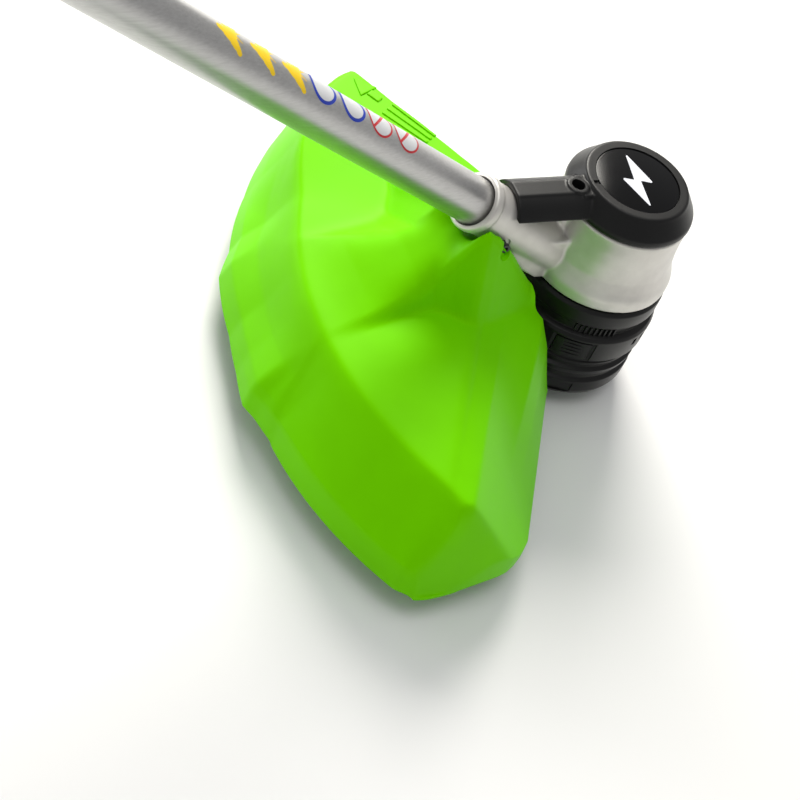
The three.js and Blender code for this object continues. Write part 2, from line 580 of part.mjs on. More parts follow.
const loopHandle = () => {
	const curve = loopCurve();
	const saddle = block(-28, HANDLE_S - 22, 1, 28, HANDLE_S + 22, 30);
	const bolts = SIDES.map((side) => moved(rodZ(3, -1, 24, 12), side * BOLT_X, HANDLE_S, 0));
	const wells = SIDES.map((side) => moved(rodZ(5.6, 22, 40, 14), side * BOLT_X, HANDLE_S, 0));
	const tube = rodY(TUBE_R + GAP, HANDLE_S - 40, HANDLE_S + 40, 32);
	const loop = join(saddle, swept(curve, LOOP_R, 28, 8));
	onShaft('loop_handle', cut(loop, tube, ...bolts, ...wells), blackPlastic);
	const core = swept(new Stretch(curve, 0.24, 0.76), LOOP_R + 0.9, 14, 8);
	const sleeve = swept(new Stretch(curve, 0.26, 0.74), LOOP_R + 3.5, 14, 8);
	onShaft('loop_grip', cut(sleeve, core), rubber);
	const plate = cut(block(-28, HANDLE_S - 18, -25, 28, HANDLE_S + 18, -1), tube,
		...SIDES.map((side) => moved(rodZ(3, -26, 0, 12), side * BOLT_X, HANDLE_S, 0)));
	onShaft('handle_clamp_plate', plate, blackPlastic);
	for (const [name, side] of [['left', 1], ['right', -1]]) {
		onShaft(`handle_bolt_${name}`, screw(2.6, 54, 5, 4), steel).position.set(side * BOLT_X, HANDLE_S, 22 + GAP);
	}
	const hub = rodZ(9, -38, -25.4, 20);
	const wings = block(-19, -2.6, -40, 19, 2.6, -29);
	const thread = rodZ(3, -42, -20, 12);
	const knob = cut(join(hub, wings), thread);
	onShaft('handle_knob', knob, blackPlastic).position.set(-BOLT_X, HANDLE_S, 0);
};

loopHandle();

// ---------------------------------------------------------------- strap hanger
const hangerClamp = cut(
	join(rodY(16.5, HANGER_S - 9, HANGER_S + 9, 28), block(-2, HANGER_S - 7, -30, 2, HANGER_S + 7, -14)),
	rodY(TUBE_R + GAP, HANGER_S - 12, HANGER_S + 12, 28),
	moved(rodX(2.6, -4, 4, 14), 0, HANGER_S, HANGER_EYE),
);
onShaft('hanger_clamp', hangerClamp, steel);
const hangerRing = onShaft('hanger_ring', new THREE.TorusGeometry(12, 1.7, 6, 24), steel);
hangerRing.rotation.x = Math.PI / 2 - SHAFT_ANGLE; // hangs straight down from its eye
hangerRing.position.set(0, HANGER_S - 12 * Math.sin(SHAFT_ANGLE), HANGER_EYE - 12 * Math.cos(SHAFT_ANGLE));

// ---------------------------------------------------------------- rear housing
const gripOutline = () => roundedShape(GRIP_S, -GRIP_R - 3, GRIP_S + GRIP_LENGTH, GRIP_R + 2, 9);
const bayOutline = () => roundedShape(BAY_S, BAY_BOTTOM, BAY_END, BAY_TOP, 16);

const rearHousing = () => {
	const nose = rodY(TUBE_R + 5, GRIP_S - 26, GRIP_S + 8, 28);
	const outer = join(nose, sideways(gripOutline(), GRIP_R, 7), sideways(bayOutline(), BAY_HALF_WIDTH, 8));
	const gripHollow = sideways(gripOutline(), GRIP_R - SHELL, 5, SHELL);
	const passage = block(-12, BAY_S - 10, -12, 12, BAY_S + 12, 12);
	const controllerRoom = block(
		SHELL - BAY_HALF_WIDTH, BAY_S + 5, BAY_BOTTOM + 4, BAY_HALF_WIDTH - SHELL, BAY_DIVIDER - SHELL, BAY_TOP - 4,
	);
	const bay = block(
		SHELL - BAY_HALF_WIDTH, BAY_DIVIDER, BAY_BOTTOM + 4, BAY_HALF_WIDTH - SHELL, BAY_END + 1, BAY_TOP - 4,
	);
	const hollow = cut(outer, gripHollow, passage, controllerRoom, bay);
	const posts = POSTS.map(([s, z, half]) => rodX(5, -half, half, 12).translate(0, s, z));
	const bores = POSTS.map(([s, z, half]) => rodX(1.9, -half - 9, half - 3, 10).translate(0, s, z));
	const wells = POSTS.map(([s, z, half]) => rodX(3.5, -half - 30, 2.6 - half, 12).translate(0, s, z));
	const openings = [
		rodY(TUBE_R + GAP, GRIP_S - 40, GRIP_S + 12, 28),
		block(-7, TRIGGER_S - 6, -40, 7, TRIGGER_S + 52, -GRIP_R + 1),
		block(-6, TRIGGER_S - 18, GRIP_R - 2, 6, TRIGGER_S + 48, 30),
		block(-18.3, BAY_DIVIDER - 6, -22.3, 18.3, BAY_DIVIDER + 2, -1.7),
		moved(rodZ(8.3, 30, 50, 20), 0, BAY_S + 24, 0),
		moved(rodZ(6.3, 30, 50, 16), 20, BAY_S + 24, 0),
		block(-10.3, LATCH_S - 10.3, 30, 10.3, LATCH_S + 10.3, 50),
	];
	const whole = cut(join(hollow, ...posts), ...bores, ...wells, ...openings);
	const leftSide = block(GAP / 2, GRIP_S - 60, -90, 80, BAY_END + 20, 80);
	const rightSide = block(-80, GRIP_S - 60, -90, -GAP / 2, BAY_END + 20, 80);
	onShaft('rear_housing_left', common(whole, leftSide), greenPlastic);
	onShaft('rear_housing_right', common(whole, rightSide), greenPlastic);
	POSTS.forEach(([s, z, half], index) => {
		const body = screw(1.6, 2 * half - 8, 3, 2).rotateY(-Math.PI / 2);
		onShaft(`housing_screw_${index + 1}`, body, darkSteel).position.set(2.6 - half - GAP, s, z);
	});
};

const gripSleeve = () => {
	const s0 = TRIGGER_S + 56;
	const outline = roundedShape(s0, -GRIP_R - 5, GRIP_S + GRIP_LENGTH - 9, GRIP_R + 4, 5);
	const inner = roundedShape(s0 - 60, -GRIP_R - 3 - GAP, s0 + 120, GRIP_R + 2 + GAP, 9);
	const core = sideways(inner, GRIP_R + GAP, 6.5);
	return cut(sideways(outline, GRIP_R + 2, 3), core);
};

const controls = () => {
	const pivot = [TRIGGER_S, -12];
	const trigger = sideways(outline([
		[TRIGGER_S - 5, -8], [TRIGGER_S + 4, -6], [TRIGGER_S + 46, -14], [TRIGGER_S + 48, -24], [TRIGGER_S + 40, -36],
		[TRIGGER_S + 22, -40], [TRIGGER_S + 8, -36], [TRIGGER_S - 4, -24],
	]), 6.4);
	onShaft('throttle_trigger', cut(trigger, rodX(2.3, -10, 10, 14).translate(0, ...pivot)), blackPlastic);
	onShaft('trigger_pin', rodX(2, -16, 16, 12).translate(0, ...pivot), steel);
	const spring = coil(3.6, 0.5, 7.2, 12, 4).rotateY(Math.PI / 2).translate(0, ...pivot);
	onShaft('trigger_spring', spring, steel);
	onShaft('trigger_switch', block(-8, TRIGGER_S + 57, -12, 8, TRIGGER_S + 80, 8), darkSteel);
	const lever = sideways(outline([
		[TRIGGER_S - 16, 17], [TRIGGER_S - 14, 27], [TRIGGER_S + 12, 30], [TRIGGER_S + 36, 27], [TRIGGER_S + 46, 20],
		[TRIGGER_S + 46, 12], [TRIGGER_S + 38, 9], [TRIGGER_S + 30, 14],
	]), 5.6);
	onShaft('lock_off_lever', cut(lever, rodX(2, -10, 10, 12).translate(0, TRIGGER_S + 40, 14.5)), blackPlastic);
	onShaft('lock_off_pin', rodX(1.7, -16, 16, 12).translate(0, TRIGGER_S + 40, 14.5), steel);
	const buttonTop = BAY_TOP + 1.6;
	onShaft('power_button', moved(rodZ(8, BAY_TOP - 9, buttonTop, 20), 0, BAY_S + 24, 0), greyPlastic);
	onShaft('speed_button', moved(rodZ(6, BAY_TOP - 9, buttonTop, 16), 20, BAY_S + 24, 0), greyPlastic);
	onShaft('battery_latch', block(-10, LATCH_S - 10, BAY_TOP - 7, 10, LATCH_S + 10, BAY_TOP + 3), blackPlastic);
};

const electronics = () => {
	const base = block(-34, BAY_S + 9, -40, 34, BAY_S + 18, 28);
	const fins = [];
	for (let x = -30; x <= 30; x += 12) fins.push(block(x - 1.5, BAY_S + 17, -40, x + 1.5, BAY_S + 32, 28));
	onShaft('motor_controller', join(base, ...fins), castMetal);
	const body = block(-18, BAY_DIVIDER - 12, -22, 18, BAY_DIVIDER + 1, -2);
	const blades = [-12, -4, 4, 12].map((x) => block(x - 0.8, BAY_DIVIDER, -18, x + 0.8, BAY_DIVIDER + 11, -6));
	onShaft('terminal_block', join(body, ...blades), blackPlastic);
};

// ---------------------------------------------------------------- battery
const battery = () => {
	const half = BAY_HALF_WIDTH - SHELL - 0.6;
	const front = BAY_DIVIDER + 1.6;
	const slug = block(-half, front, BAY_BOTTOM + 4.6, half, BAY_END + 6, BAY_TOP - 4.6);
	const tail = sideways(roundedShape(BAY_END + 0.5, BAY_BOTTOM, BATTERY_END, BAY_TOP, 16), BAY_HALF_WIDTH, 8);
	const room = block(3.4 - half, front + 18, BAY_BOTTOM + 8, half - 3.4, BATTERY_END - 10, BAY_TOP - 16);
	const mouth = block(-30, BATTERY_END - 12, BAY_BOTTOM + 14, 30, BATTERY_END + 1, BAY_TOP - 20);
	const socket = block(-17, front - 1, -20, 17, front + 13, -4);
	const groove = block(-11, front - 1, BAY_TOP - 12, 11, LATCH_S + 11, BAY_TOP);
	onShaft('battery_case', cut(join(slug, tail), room, mouth, socket, groove), blackPlastic);
	const cover = block(
		-30 + GAP, BATTERY_END - 9, BAY_BOTTOM + 14 + GAP, 30 - GAP, BATTERY_END + 2, BAY_TOP - 20 - GAP,
	);
	onShaft('battery_end_cover', cover, greenPlastic);
	const cells = [];
	for (let column = 0; column < 4; column += 1) {
		for (let row = 0; row < 4; row += 1) {
			const centre = [(column - 1.5) * CELL_PITCH, (row - 1.5) * CELL_PITCH + (BAY_BOTTOM + BAY_TOP) / 2 - 4];
			cells.push(moved(rodY(CELL_PITCH * 0.59, front + 20, BATTERY_END - 13, 6), centre[0], 0, centre[1]));
		}
	}
	onShaft('battery_cells', join(...cells), cellBlue);
};

rearHousing();
onShaft('grip_sleeve', gripSleeve(), rubber);
const shaftBoot = ring(TUBE_R + 4, TUBE_R + GAP, GRIP_S - 44, GRIP_S - 26 - GAP, 24).rotateX(-Math.PI / 2);
onShaft('shaft_boot', shaftBoot, rubber);
controls();
electronics();
battery();

export default group;
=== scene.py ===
"""Looks of the battery string trimmer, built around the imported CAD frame. Lengths are millimetres until
a mesh is made, which scales them to metres."""
import json
import math
import random

import bmesh
import bpy
import numpy as np
from mathutils import Matrix, Vector


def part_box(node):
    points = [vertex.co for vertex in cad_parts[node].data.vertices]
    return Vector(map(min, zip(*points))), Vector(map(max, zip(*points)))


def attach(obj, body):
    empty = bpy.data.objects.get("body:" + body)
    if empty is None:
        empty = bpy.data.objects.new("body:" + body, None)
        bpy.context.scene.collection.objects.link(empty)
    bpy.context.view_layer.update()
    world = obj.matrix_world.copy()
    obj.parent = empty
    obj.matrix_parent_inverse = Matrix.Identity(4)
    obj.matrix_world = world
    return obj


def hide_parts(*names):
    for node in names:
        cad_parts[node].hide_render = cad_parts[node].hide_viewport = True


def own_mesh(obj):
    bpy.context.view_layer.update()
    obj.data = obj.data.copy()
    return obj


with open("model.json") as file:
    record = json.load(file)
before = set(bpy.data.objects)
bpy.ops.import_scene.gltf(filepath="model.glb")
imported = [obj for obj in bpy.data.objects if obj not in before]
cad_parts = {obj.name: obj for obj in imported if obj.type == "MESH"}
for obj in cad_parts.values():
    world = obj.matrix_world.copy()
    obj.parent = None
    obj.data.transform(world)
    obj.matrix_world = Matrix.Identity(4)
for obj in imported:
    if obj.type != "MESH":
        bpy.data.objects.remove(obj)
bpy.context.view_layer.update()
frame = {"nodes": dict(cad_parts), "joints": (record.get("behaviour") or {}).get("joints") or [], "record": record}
NODES = frame["nodes"]
MM = 0.001
TAU = 2 * math.pi
GAP = 0.3  # clearance between touching pieces
SIDES = (1, -1)
GUARD_SCREWS = (64, 79)  # along the shaft
CLAMP_S, CLAMP_DROP = 92, -6  # the screws that pinch the tube: along the shaft and under its axis
HANGER_S = 1190.0
GRIP_BACK = 115  # from the nose of the rear housing to the middle of the grip
random.seed(7)


# ---------------------------------------------------------------- places, all taken from the frame
def low(node):
    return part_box(node)[0] / MM


def high(node):
    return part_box(node)[1] / MM


def centre(node):
    return (low(node) + high(node)) / 2


def mount(name):
    return next(Vector(m["pos_m"]) / MM for m in frame["record"]["mounts"] if m["name"] == name)


def joint(name):
    return next(j for j in frame["joints"] if j["name"] == name)


FLANGE_Z = low("motor_housing").z
SHAFT = Vector(joint("handle_slide")["axis"]).normalized()
GRIP_POINT = mount("rear_grip")
SHAFT_START = GRIP_POINT - SHAFT * (GRIP_POINT.y / SHAFT.y)  # the shaft axis over the spin axis
TUBE_R = (high("shaft_tube").x - low("shaft_tube").x) / 2


def along_of(point):
    return (point - SHAFT_START).dot(SHAFT)


SHAFT_FRAME = Matrix.Translation(SHAFT_START) @ Matrix((
    (1, 0, 0, 0), (0, SHAFT.y, -SHAFT.z, 0), (0, SHAFT.z, SHAFT.y, 0), (0, 0, 0, 1)))
HEAD_FRAME = Matrix.Translation((0, 0, FLANGE_Z))
CAP_SCREW_PLACE = HEAD_FRAME @ Matrix.Translation((0, 38, 0))


# ---------------------------------------------------------------- mesh helpers
def new_object(name, mesh):
    obj = bpy.data.objects.new(name, mesh)
    bpy.context.scene.collection.objects.link(obj)
    return obj


def from_points(name, points, faces, place=None):
    """An object from millimetre points, put into the row frame by place."""
    place = place or Matrix.Identity(4)
    mesh = bpy.data.meshes.new(name)
    mesh.from_pydata([(place @ Vector(p)) * MM for p in points], [], faces)
    mesh.validate()
    mesh.update()
    return new_object(name, mesh)


def faced_outward(obj):
    bm = bmesh.new()
    bm.from_mesh(obj.data)
    bmesh.ops.recalc_face_normals(bm, faces=bm.faces)
    bm.to_mesh(obj.data)
    bm.free()
    return obj


def shade_smooth(obj, angle=35):
    """Smooth shading that keeps the edges sharper than the angle."""
    mesh = obj.data
    mesh.shade_smooth()
    bm = bmesh.new()
    bm.from_mesh(mesh)
    limit = math.radians(angle)
    for edge in bm.edges:
        edge.smooth = len(edge.link_faces) == 2 and edge.calc_face_angle(0) < limit
    bm.to_mesh(mesh)
    bm.free()
    return obj


def apply_modifiers(obj):
    graph = bpy.context.evaluated_depsgraph_get()
    mesh = bpy.data.meshes.new_from_object(obj.evaluated_get(graph))
    obj.modifiers.clear()
    old = obj.data
    obj.data = mesh
    bpy.data.meshes.remove(old)
    return obj


def remove(*objects):
    for obj in objects:
        bpy.data.objects.remove(obj)


def joined(name, *objects):
    """One object from several, with nothing cut or merged."""
    bm = bmesh.new()
    for obj in objects:
        bm.from_mesh(obj.data)
    mesh = bpy.data.meshes.new(name)
    bm.to_mesh(mesh)
    bm.free()
    remove(*objects)
    return new_object(name, mesh)


def boolean(obj, operation, *tools):
    for tool in tools:
        modifier = obj.modifiers.new("boolean", "BOOLEAN")
        modifier.operation = operation
        modifier.solver = "EXACT"
        modifier.object = tool
    apply_modifiers(obj)
    remove(*tools)
    return obj


def carve(obj, *tools):
    return boolean(obj, "DIFFERENCE", *tools)


def melted(obj, voxel, passes=4):
    """Fuses overlapping solids into one skin with soft inside corners, as a casting has."""
    remesh = obj.modifiers.new("remesh", "REMESH")
    remesh.mode = "VOXEL"
    remesh.voxel_size = voxel * MM
    remesh.adaptivity = 0
    smooth = obj.modifiers.new("smooth", "SMOOTH")
    smooth.factor = 0.5
    smooth.iterations = passes
    apply_modifiers(obj)
    obj.data.shade_smooth()
    return obj


def bevelled(obj, width, segments=3, angle=30):
    modifier = obj.modifiers.new("bevel", "BEVEL")
    modifier.width = width * MM
    modifier.segments = segments
    modifier.limit_method = "ANGLE"
    modifier.angle_limit = math.radians(angle)
    modifier.harden_normals = False
    return obj


def filleted(points, radius, closed=False, steps=4):
    """Rounds the corners of an outline. radius is one number, or one for each point."""
    count = len(points)
    radii = radius if isinstance(radius, (list, tuple)) else [radius] * count
    result = []
    for i, (point, r) in enumerate(zip(points, radii)):
        ends = not closed and i in (0, count - 1)
        p = Vector(point).to_2d()
        a = Vector(points[i - 1]).to_2d() - p
        b = Vector(points[(i + 1) % count]).to_2d() - p
        if ends or r <= 0 or a.length < 1e-6 or b.length < 1e-6:
            result.append((p.x, p.y))
            continue
        half = a.angle(b) / 2
        if half > math.radians(88) or half < math.radians(2):
            result.append((p.x, p.y))
            continue
        reach = min(r / math.tan(half), a.length * 0.48, b.length * 0.48)
        r = reach * math.tan(half)
        middle = p + (a.normalized() + b.normalized()).normalized() * (r / math.sin(half))
        start = p + a.normalized() * reach - middle
        turn = (p + b.normalized() * reach - middle).angle_signed(start)
        for k in range(steps + 1):
            spun = Matrix.Rotation(turn * k / steps, 2) @ start
            result.append(((middle + spun).x, (middle + spun).y))
    return result


def lathe(name, profile, segments=96, place=HEAD_FRAME, closed=False):
    """Turns [radius, height] pairs about Z. The pairs run anticlockwise."""
    points, faces, rings = [], [], []
    for r, z in profile:
        if r < 1e-6:
            rings.append([len(points)] * segments)
            points.append((0, 0, z))
        else:
            rings.append(list(range(len(points), len(points) + segments)))
            points += [(r * math.cos(TAU * k / segments), r * math.sin(TAU * k / segments), z)
                       for k in range(segments)]
    pairs = list(zip(rings, rings[1:] + rings[:1])) if closed else list(zip(rings, rings[1:]))
    for below, above in pairs:
        for k in range(segments):
            n = (k + 1) % segments
            corners = list(dict.fromkeys([below[k], below[n], above[n], above[k]]))
            if len(corners) > 2:
                faces.append(corners)
    return from_points(name, points, faces, place)


TO_Y = Matrix.Rotation(-math.pi / 2, 4, "X")  # turns a lathe about Z into one about Y
TO_X = Matrix.Rotation(math.pi / 2, 4, "Y")
TO_SIDE = {1: TO_X, -1: TO_X.inverted()}


def rod(name, radius, bottom, top, segments=96, place=HEAD_FRAME):
    return lathe(name, [(0, bottom), (radius, bottom), (radius, top), (0, top)], segments, place)


def shaft_at(x, s, z):
    """A frame like the shaft's, moved to a place across, along and over its axis."""
    return SHAFT_FRAME @ Matrix.Translation((x, s, z))


def along_shaft(name, profile, segments=96, closed=False):
    """A lathe about the shaft axis. The pairs are [radius, distance along the shaft]."""
    return lathe(name, profile, segments, SHAFT_FRAME @ TO_Y, closed)


def shaft_rod(name, radius, start, end, segments=96):
    return rod(name, radius, start, end, segments, SHAFT_FRAME @ TO_Y)


def rectangle(left, low_edge, right, high_edge):
    return [(left, low_edge), (right, low_edge), (right, high_edge), (left, high_edge)]


def box_at(name, corner_a, corner_b, place=None):
    x, y, z = zip(corner_a, corner_b)
    points = [(x[i], y[j], z[k]) for i in (0, 1) for j in (0, 1) for k in (0, 1)]
    faces = [(0, 1, 3, 2), (4, 6, 7, 5), (0, 4, 5, 1), (2, 3, 7, 6), (0, 2, 6, 4), (1, 5, 7, 3)]
    return from_points(name, points, faces, place)


def between(name, near, far, place=None):
    """A solid between two outlines that have the same number of points."""
    count = len(near)
    faces = [tuple(reversed(range(count))), tuple(range(count, 2 * count))]
    faces += [(k, (k + 1) % count, count + (k + 1) % count, count + k) for k in range(count)]
    return faced_outward(from_points(name, [*near, *far], faces, place))


def prism(name, outline, half_width, place=None):
    """An outline in the YZ plane, given the same width on both sides of x = 0."""
    near, far = ([(x, y, z) for y, z in outline] for x in (-half_width, half_width))
    return between(name, near, far, place)


def finish_piece(obj, body, slot, *nodes, look=None):
    """Gives a piece its material and its body, and hides the CAD nodes that it stands for."""
    obj.data.materials.clear()
    obj.data.materials.append(look or LOOKS[slot])
    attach(obj, body)
    if nodes:
        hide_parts(*nodes)
    return obj


# ---------------------------------------------------------------- materials
def principled(name, color, roughness, metallic=0.0, **inputs):
    look = bpy.data.materials.new(name)
    look.use_nodes = True
    shader = look.node_tree.nodes["Principled BSDF"]
    shader.inputs["Base Color"].default_value = (*color, 1)
    shader.inputs["Roughness"].default_value = roughness
    shader.inputs["Metallic"].default_value = metallic
    for key, value in inputs.items():
        shader.inputs[key.replace("_", " ")].default_value = value
    return look


def node(look, kind, **values):
    """A shader node with values on its inputs, an underscore standing for a space."""
    made = look.node_tree.nodes.new(kind)
    for key, value in values.items():
        made.inputs[key.replace("_", " ")].default_value = value
    return made


def wire(look, source, output, target, entry):
    look.node_tree.links.new(source.outputs[output], target.inputs[entry])


def place_texture(look, texture, stretch=(1, 1, 1), turn=(0, 0, 0)):
    coordinates = node(look, "ShaderNodeTexCoord")
    mapping = node(look, "ShaderNodeMapping", Scale=stretch, Rotation=turn)
    wire(look, coordinates, "Object", mapping, "Vector")
    wire(look, mapping, "Vector", texture, "Vector")


def noise(look, scale, detail=4, roughness=0.55, stretch=(1, 1, 1), turn=(0, 0, 0)):
    texture = node(look, "ShaderNodeTexNoise", Scale=scale, Detail=detail, Roughness=roughness)
    place_texture(look, texture, stretch, turn)
    return texture


def shader_of(look):
    return look.node_tree.nodes["Principled BSDF"]


def varied_color(look, texture, dark, light, low_stop=0.3, high_stop=0.7):
    ramp = node(look, "ShaderNodeValToRGB")
    for stop, position, color in zip(ramp.color_ramp.elements, (low_stop, high_stop), (dark, light)):
        stop.position = position
        stop.color = (*color, 1)
    wire(look, texture, "Fac", ramp, "Fac")
    wire(look, ramp, "Color", shader_of(look), "Base Color")
    return ramp


def varied_roughness(look, texture, least, most):
    span = node(look, "ShaderNodeMapRange", To_Min=least, To_Max=most)
    wire(look, texture, "Fac", span, "Value")
    wire(look, span, "Result", shader_of(look), "Roughness")


def bumpy(look, *layers):
    """Layers are (texture, output, strength, distance in millimetres), coarse first."""
    below = None
    for texture, output, strength, distance in layers:
        bump = node(look, "ShaderNodeBump", Strength=strength, Distance=distance * MM)
        wire(look, texture, output, bump, "Height")
        if below:
            wire(look, below, "Normal", bump, "Normal")
        below = bump
    wire(look, below, "Normal", shader_of(look), "Normal")


def cast_metal():
    look = principled("cast_metal", (0.66, 0.64, 0.6), 0.4, 0.55)
    cloud = noise(look, 60, 3)
    grain = noise(look, 2200, 5, 0.7)
    varied_color(look, cloud, (0.60, 0.58, 0.545), (0.72, 0.70, 0.66))
    varied_roughness(look, cloud, 0.32, 0.46)
    bumpy(look, (cloud, "Fac", 0.25, 0.3), (grain, "Fac", 0.35, 0.05))
    return look


def drawn_tube():
    look = principled("drawn_tube", (0.5, 0.5, 0.5), 0.3, 0.9)
    streaks = noise(look, 160, 4, 0.6, stretch=(6, 0.25, 6), turn=(-math.atan2(SHAFT.z, SHAFT.y), 0, 0))
    grain = noise(look, 1800, 4, 0.6)
    varied_color(look, streaks, (0.46, 0.455, 0.45), (0.56, 0.555, 0.55))
    varied_roughness(look, streaks, 0.26, 0.38)
    bumpy(look, (streaks, "Fac", 0.06, 0.1), (grain, "Fac", 0.12, 0.03))
    return look


def moulded(name, color, spread, roughness, grain_scale, grain_strength, **inputs):
    """Injection-moulded plastic: a slow colour drift, a fine grain and a slight waviness."""
    look = principled(name, color, roughness, 0, **inputs)
    drift = noise(look, 18, 3)
    grain = noise(look, grain_scale, 3, 0.6)
    varied_color(look, drift, [c * (1 - spread) for c in color],
                 [min(1, c * (1 + spread)) for c in color])
    varied_roughness(look, drift, roughness - 0.05, roughness + 0.06)
    bumpy(look, (drift, "Fac", 0.1, 0.6), (grain, "Fac", grain_strength, 0.06))
    return look


def brushed(name, color, roughness, stretch=(1, 1, 8)):
    look = principled(name, color, roughness, 0.95)
    lines = noise(look, 300, 5, 0.7, stretch=stretch)
    varied_color(look, lines, [c * 0.85 for c in color], color)
    varied_roughness(look, lines, roughness - 0.06, roughness + 0.1)
    bumpy(look, (lines, "Fac", 0.12, 0.03))
    return look


GREEN = (0.17, 0.68, 0.0)
LOOKS = {
    "cast_metal": cast_metal(),
    "tube_metal": drawn_tube(),
    "steel": brushed("steel", (0.62, 0.62, 0.64), 0.28),
    "dark_steel": brushed("dark_steel", (0.09, 0.09, 0.1), 0.42),
    "black_plastic": moulded("black_plastic", (0.008, 0.008, 0.0082), 0.25, 0.36, 1500, 0.35,
                             Specular_IOR_Level=0.26),
    "gloss_black": moulded("gloss_black", (0.002, 0.002, 0.0025), 0.2, 0.14, 300, 0.02,
                           Specular_IOR_Level=0.2),
    "green_plastic": moulded("green_plastic", GREEN, 0.05, 0.42, 1100, 0.12,
                             Specular_IOR_Level=0.12, Specular_Tint=(0.5, 1.0, 0.0, 1.0)),
    "rubber": moulded("rubber", (0.012, 0.012, 0.013), 0.2, 0.7, 900, 0.5, Specular_IOR_Level=0.3),
    "copper": brushed("copper", (0.62, 0.27, 0.12), 0.35, (8, 8, 1)),
    "line_nylon": moulded("line_nylon", (0.8, 0.2, 0.02), 0.08, 0.35, 400, 0.1),
    "grey_plastic": moulded("grey_plastic", (0.16, 0.165, 0.17), 0.1, 0.5, 1200, 0.4),
    "cell_wrap": moulded("cell_wrap", (0.04, 0.14, 0.32), 0.1, 0.3, 300, 0.05),
}

# Every CAD node starts with its slot's look and a small bevel.
# Pieces made below stand for some of them.
SLOT_OF = {s["node"]: s["material_slot"] for s in frame["record"]["subparts"]}
for node_name, node_object in NODES.items():
    look = LOOKS[SLOT_OF[node_name]]
    if not node_object.material_slots:
        node_object.data.materials.append(look)
    for material_slot in node_object.material_slots:
        material_slot.material = look
    bevelled(node_object, 0.25, 2, 40)


# ---------------------------------------------------------------- guard
# Bearings run from +Y towards -X, in degrees. Heights are over the motor flange.
GUARD_FROM, GUARD_TO = -60.0, 60.0
GUARD_INNER, GUARD_RIM_Z, GUARD_WALL = 53.0, -64.0, 2.8
RIM = (
    (-60, 194), (-58, 201), (-55, 205.5), (-51, 205.5), (-46, 203), (-36, 199.5), (-22, 199.5),
    (-16, 205), (-4, 205),
    (3, 209), (9, 215), (11.5, 213), (16, 213), (43, 231.5), (46, 229.5), (47.5, 225), (51, 211),
    (54, 200), (56, 193),
    (57, 189), (58, 183), (59, 175), (60, 164))
RIDGE = (
    (-60, 204), (-50, 204), (-40, 201.5), (-30, 200.5), (-22, 201), (-16, 202.5), (-10, 204.5),
    (-4, 206.5), (2, 209),
    (8, 211.5), (14, 214), (20, 217), (26, 220), (32, 223.5), (38, 227.5), (44, 231.5), (50, 236),
    (60, 244))
SHAFT_TAN = SHAFT.z / SHAFT.y
AXIS_DROP = SHAFT_START.z - FLANGE_Z
COLLAR_R = 16.6
WEB_HALF = 14.4  # half width of the room for the web under the collar
CLAMP_HEAD_R = 4.6


def collar_underside(y):
    """Height of the lowest line of the collar around the tube, at a distance from the spin axis."""
    return y * SHAFT_TAN + AXIS_DROP - COLLAR_R / SHAFT.y


def smooth_step(value, start, end):
    t = np.clip((value - start) / (end - start), 0, 1)
    return t * t * (3 - 2 * t)


def slope(distance, pairs):
    """Straight pieces through [distance, height] pairs, carried on past the last one."""
    d, z = np.array(pairs, float).T
    beyond = np.maximum(0, distance - d[-1]) * (z[-1] - z[-2]) / (d[-1] - d[-2])
    return np.interp(distance, d, z) + beyond


def soft_min(reach, *heights):
    stack = np.stack(heights) / -reach
    top = stack.max(axis=0)
    return -reach * (top + np.log(np.exp(stack - top).sum(axis=0)))


def soft_max(reach, *heights):
    return -soft_min(reach, *[-h for h in heights])


def rim_radius(bearing):
    return slope(bearing, RIM)


def from_end(x, y, bearing):
    """Distance of a point from the line along an end wall's foot."""
    angle = math.radians(bearing)
    return np.abs(x * math.cos(angle) + y * math.sin(angle))


def blended(share, first, second):
    return first + (second - first) * share


# Pairs of distance from the spin axis with the height of the mound's middle, with the height of its
# edges and with its half width.
MOUND_MIDDLE = ((40, -8), (50, 0), (100, 31.5), (107, 28), (117, 21), (126, 15), (140, 8), (152, 2),
                (172, -6))
MOUND_EDGE = (
    (50, 1), (52.6, 3), (60.8, 13), (68, 22), (74.8, 30), (80, 36), (87, 43), (95, 48), (99, 46),
    (104, 38),
    (109, 28), (117, 16), (126, 9.5), (140, 4), (152, 0), (172, -7))
MOUND_HALF = ((50, 17.5), (95, 17.5), (107, 17), (117, 18.5), (126, 21.5), (140, 25), (152, 28),
              (172, 32))
MOUND_SHOULDER = 4


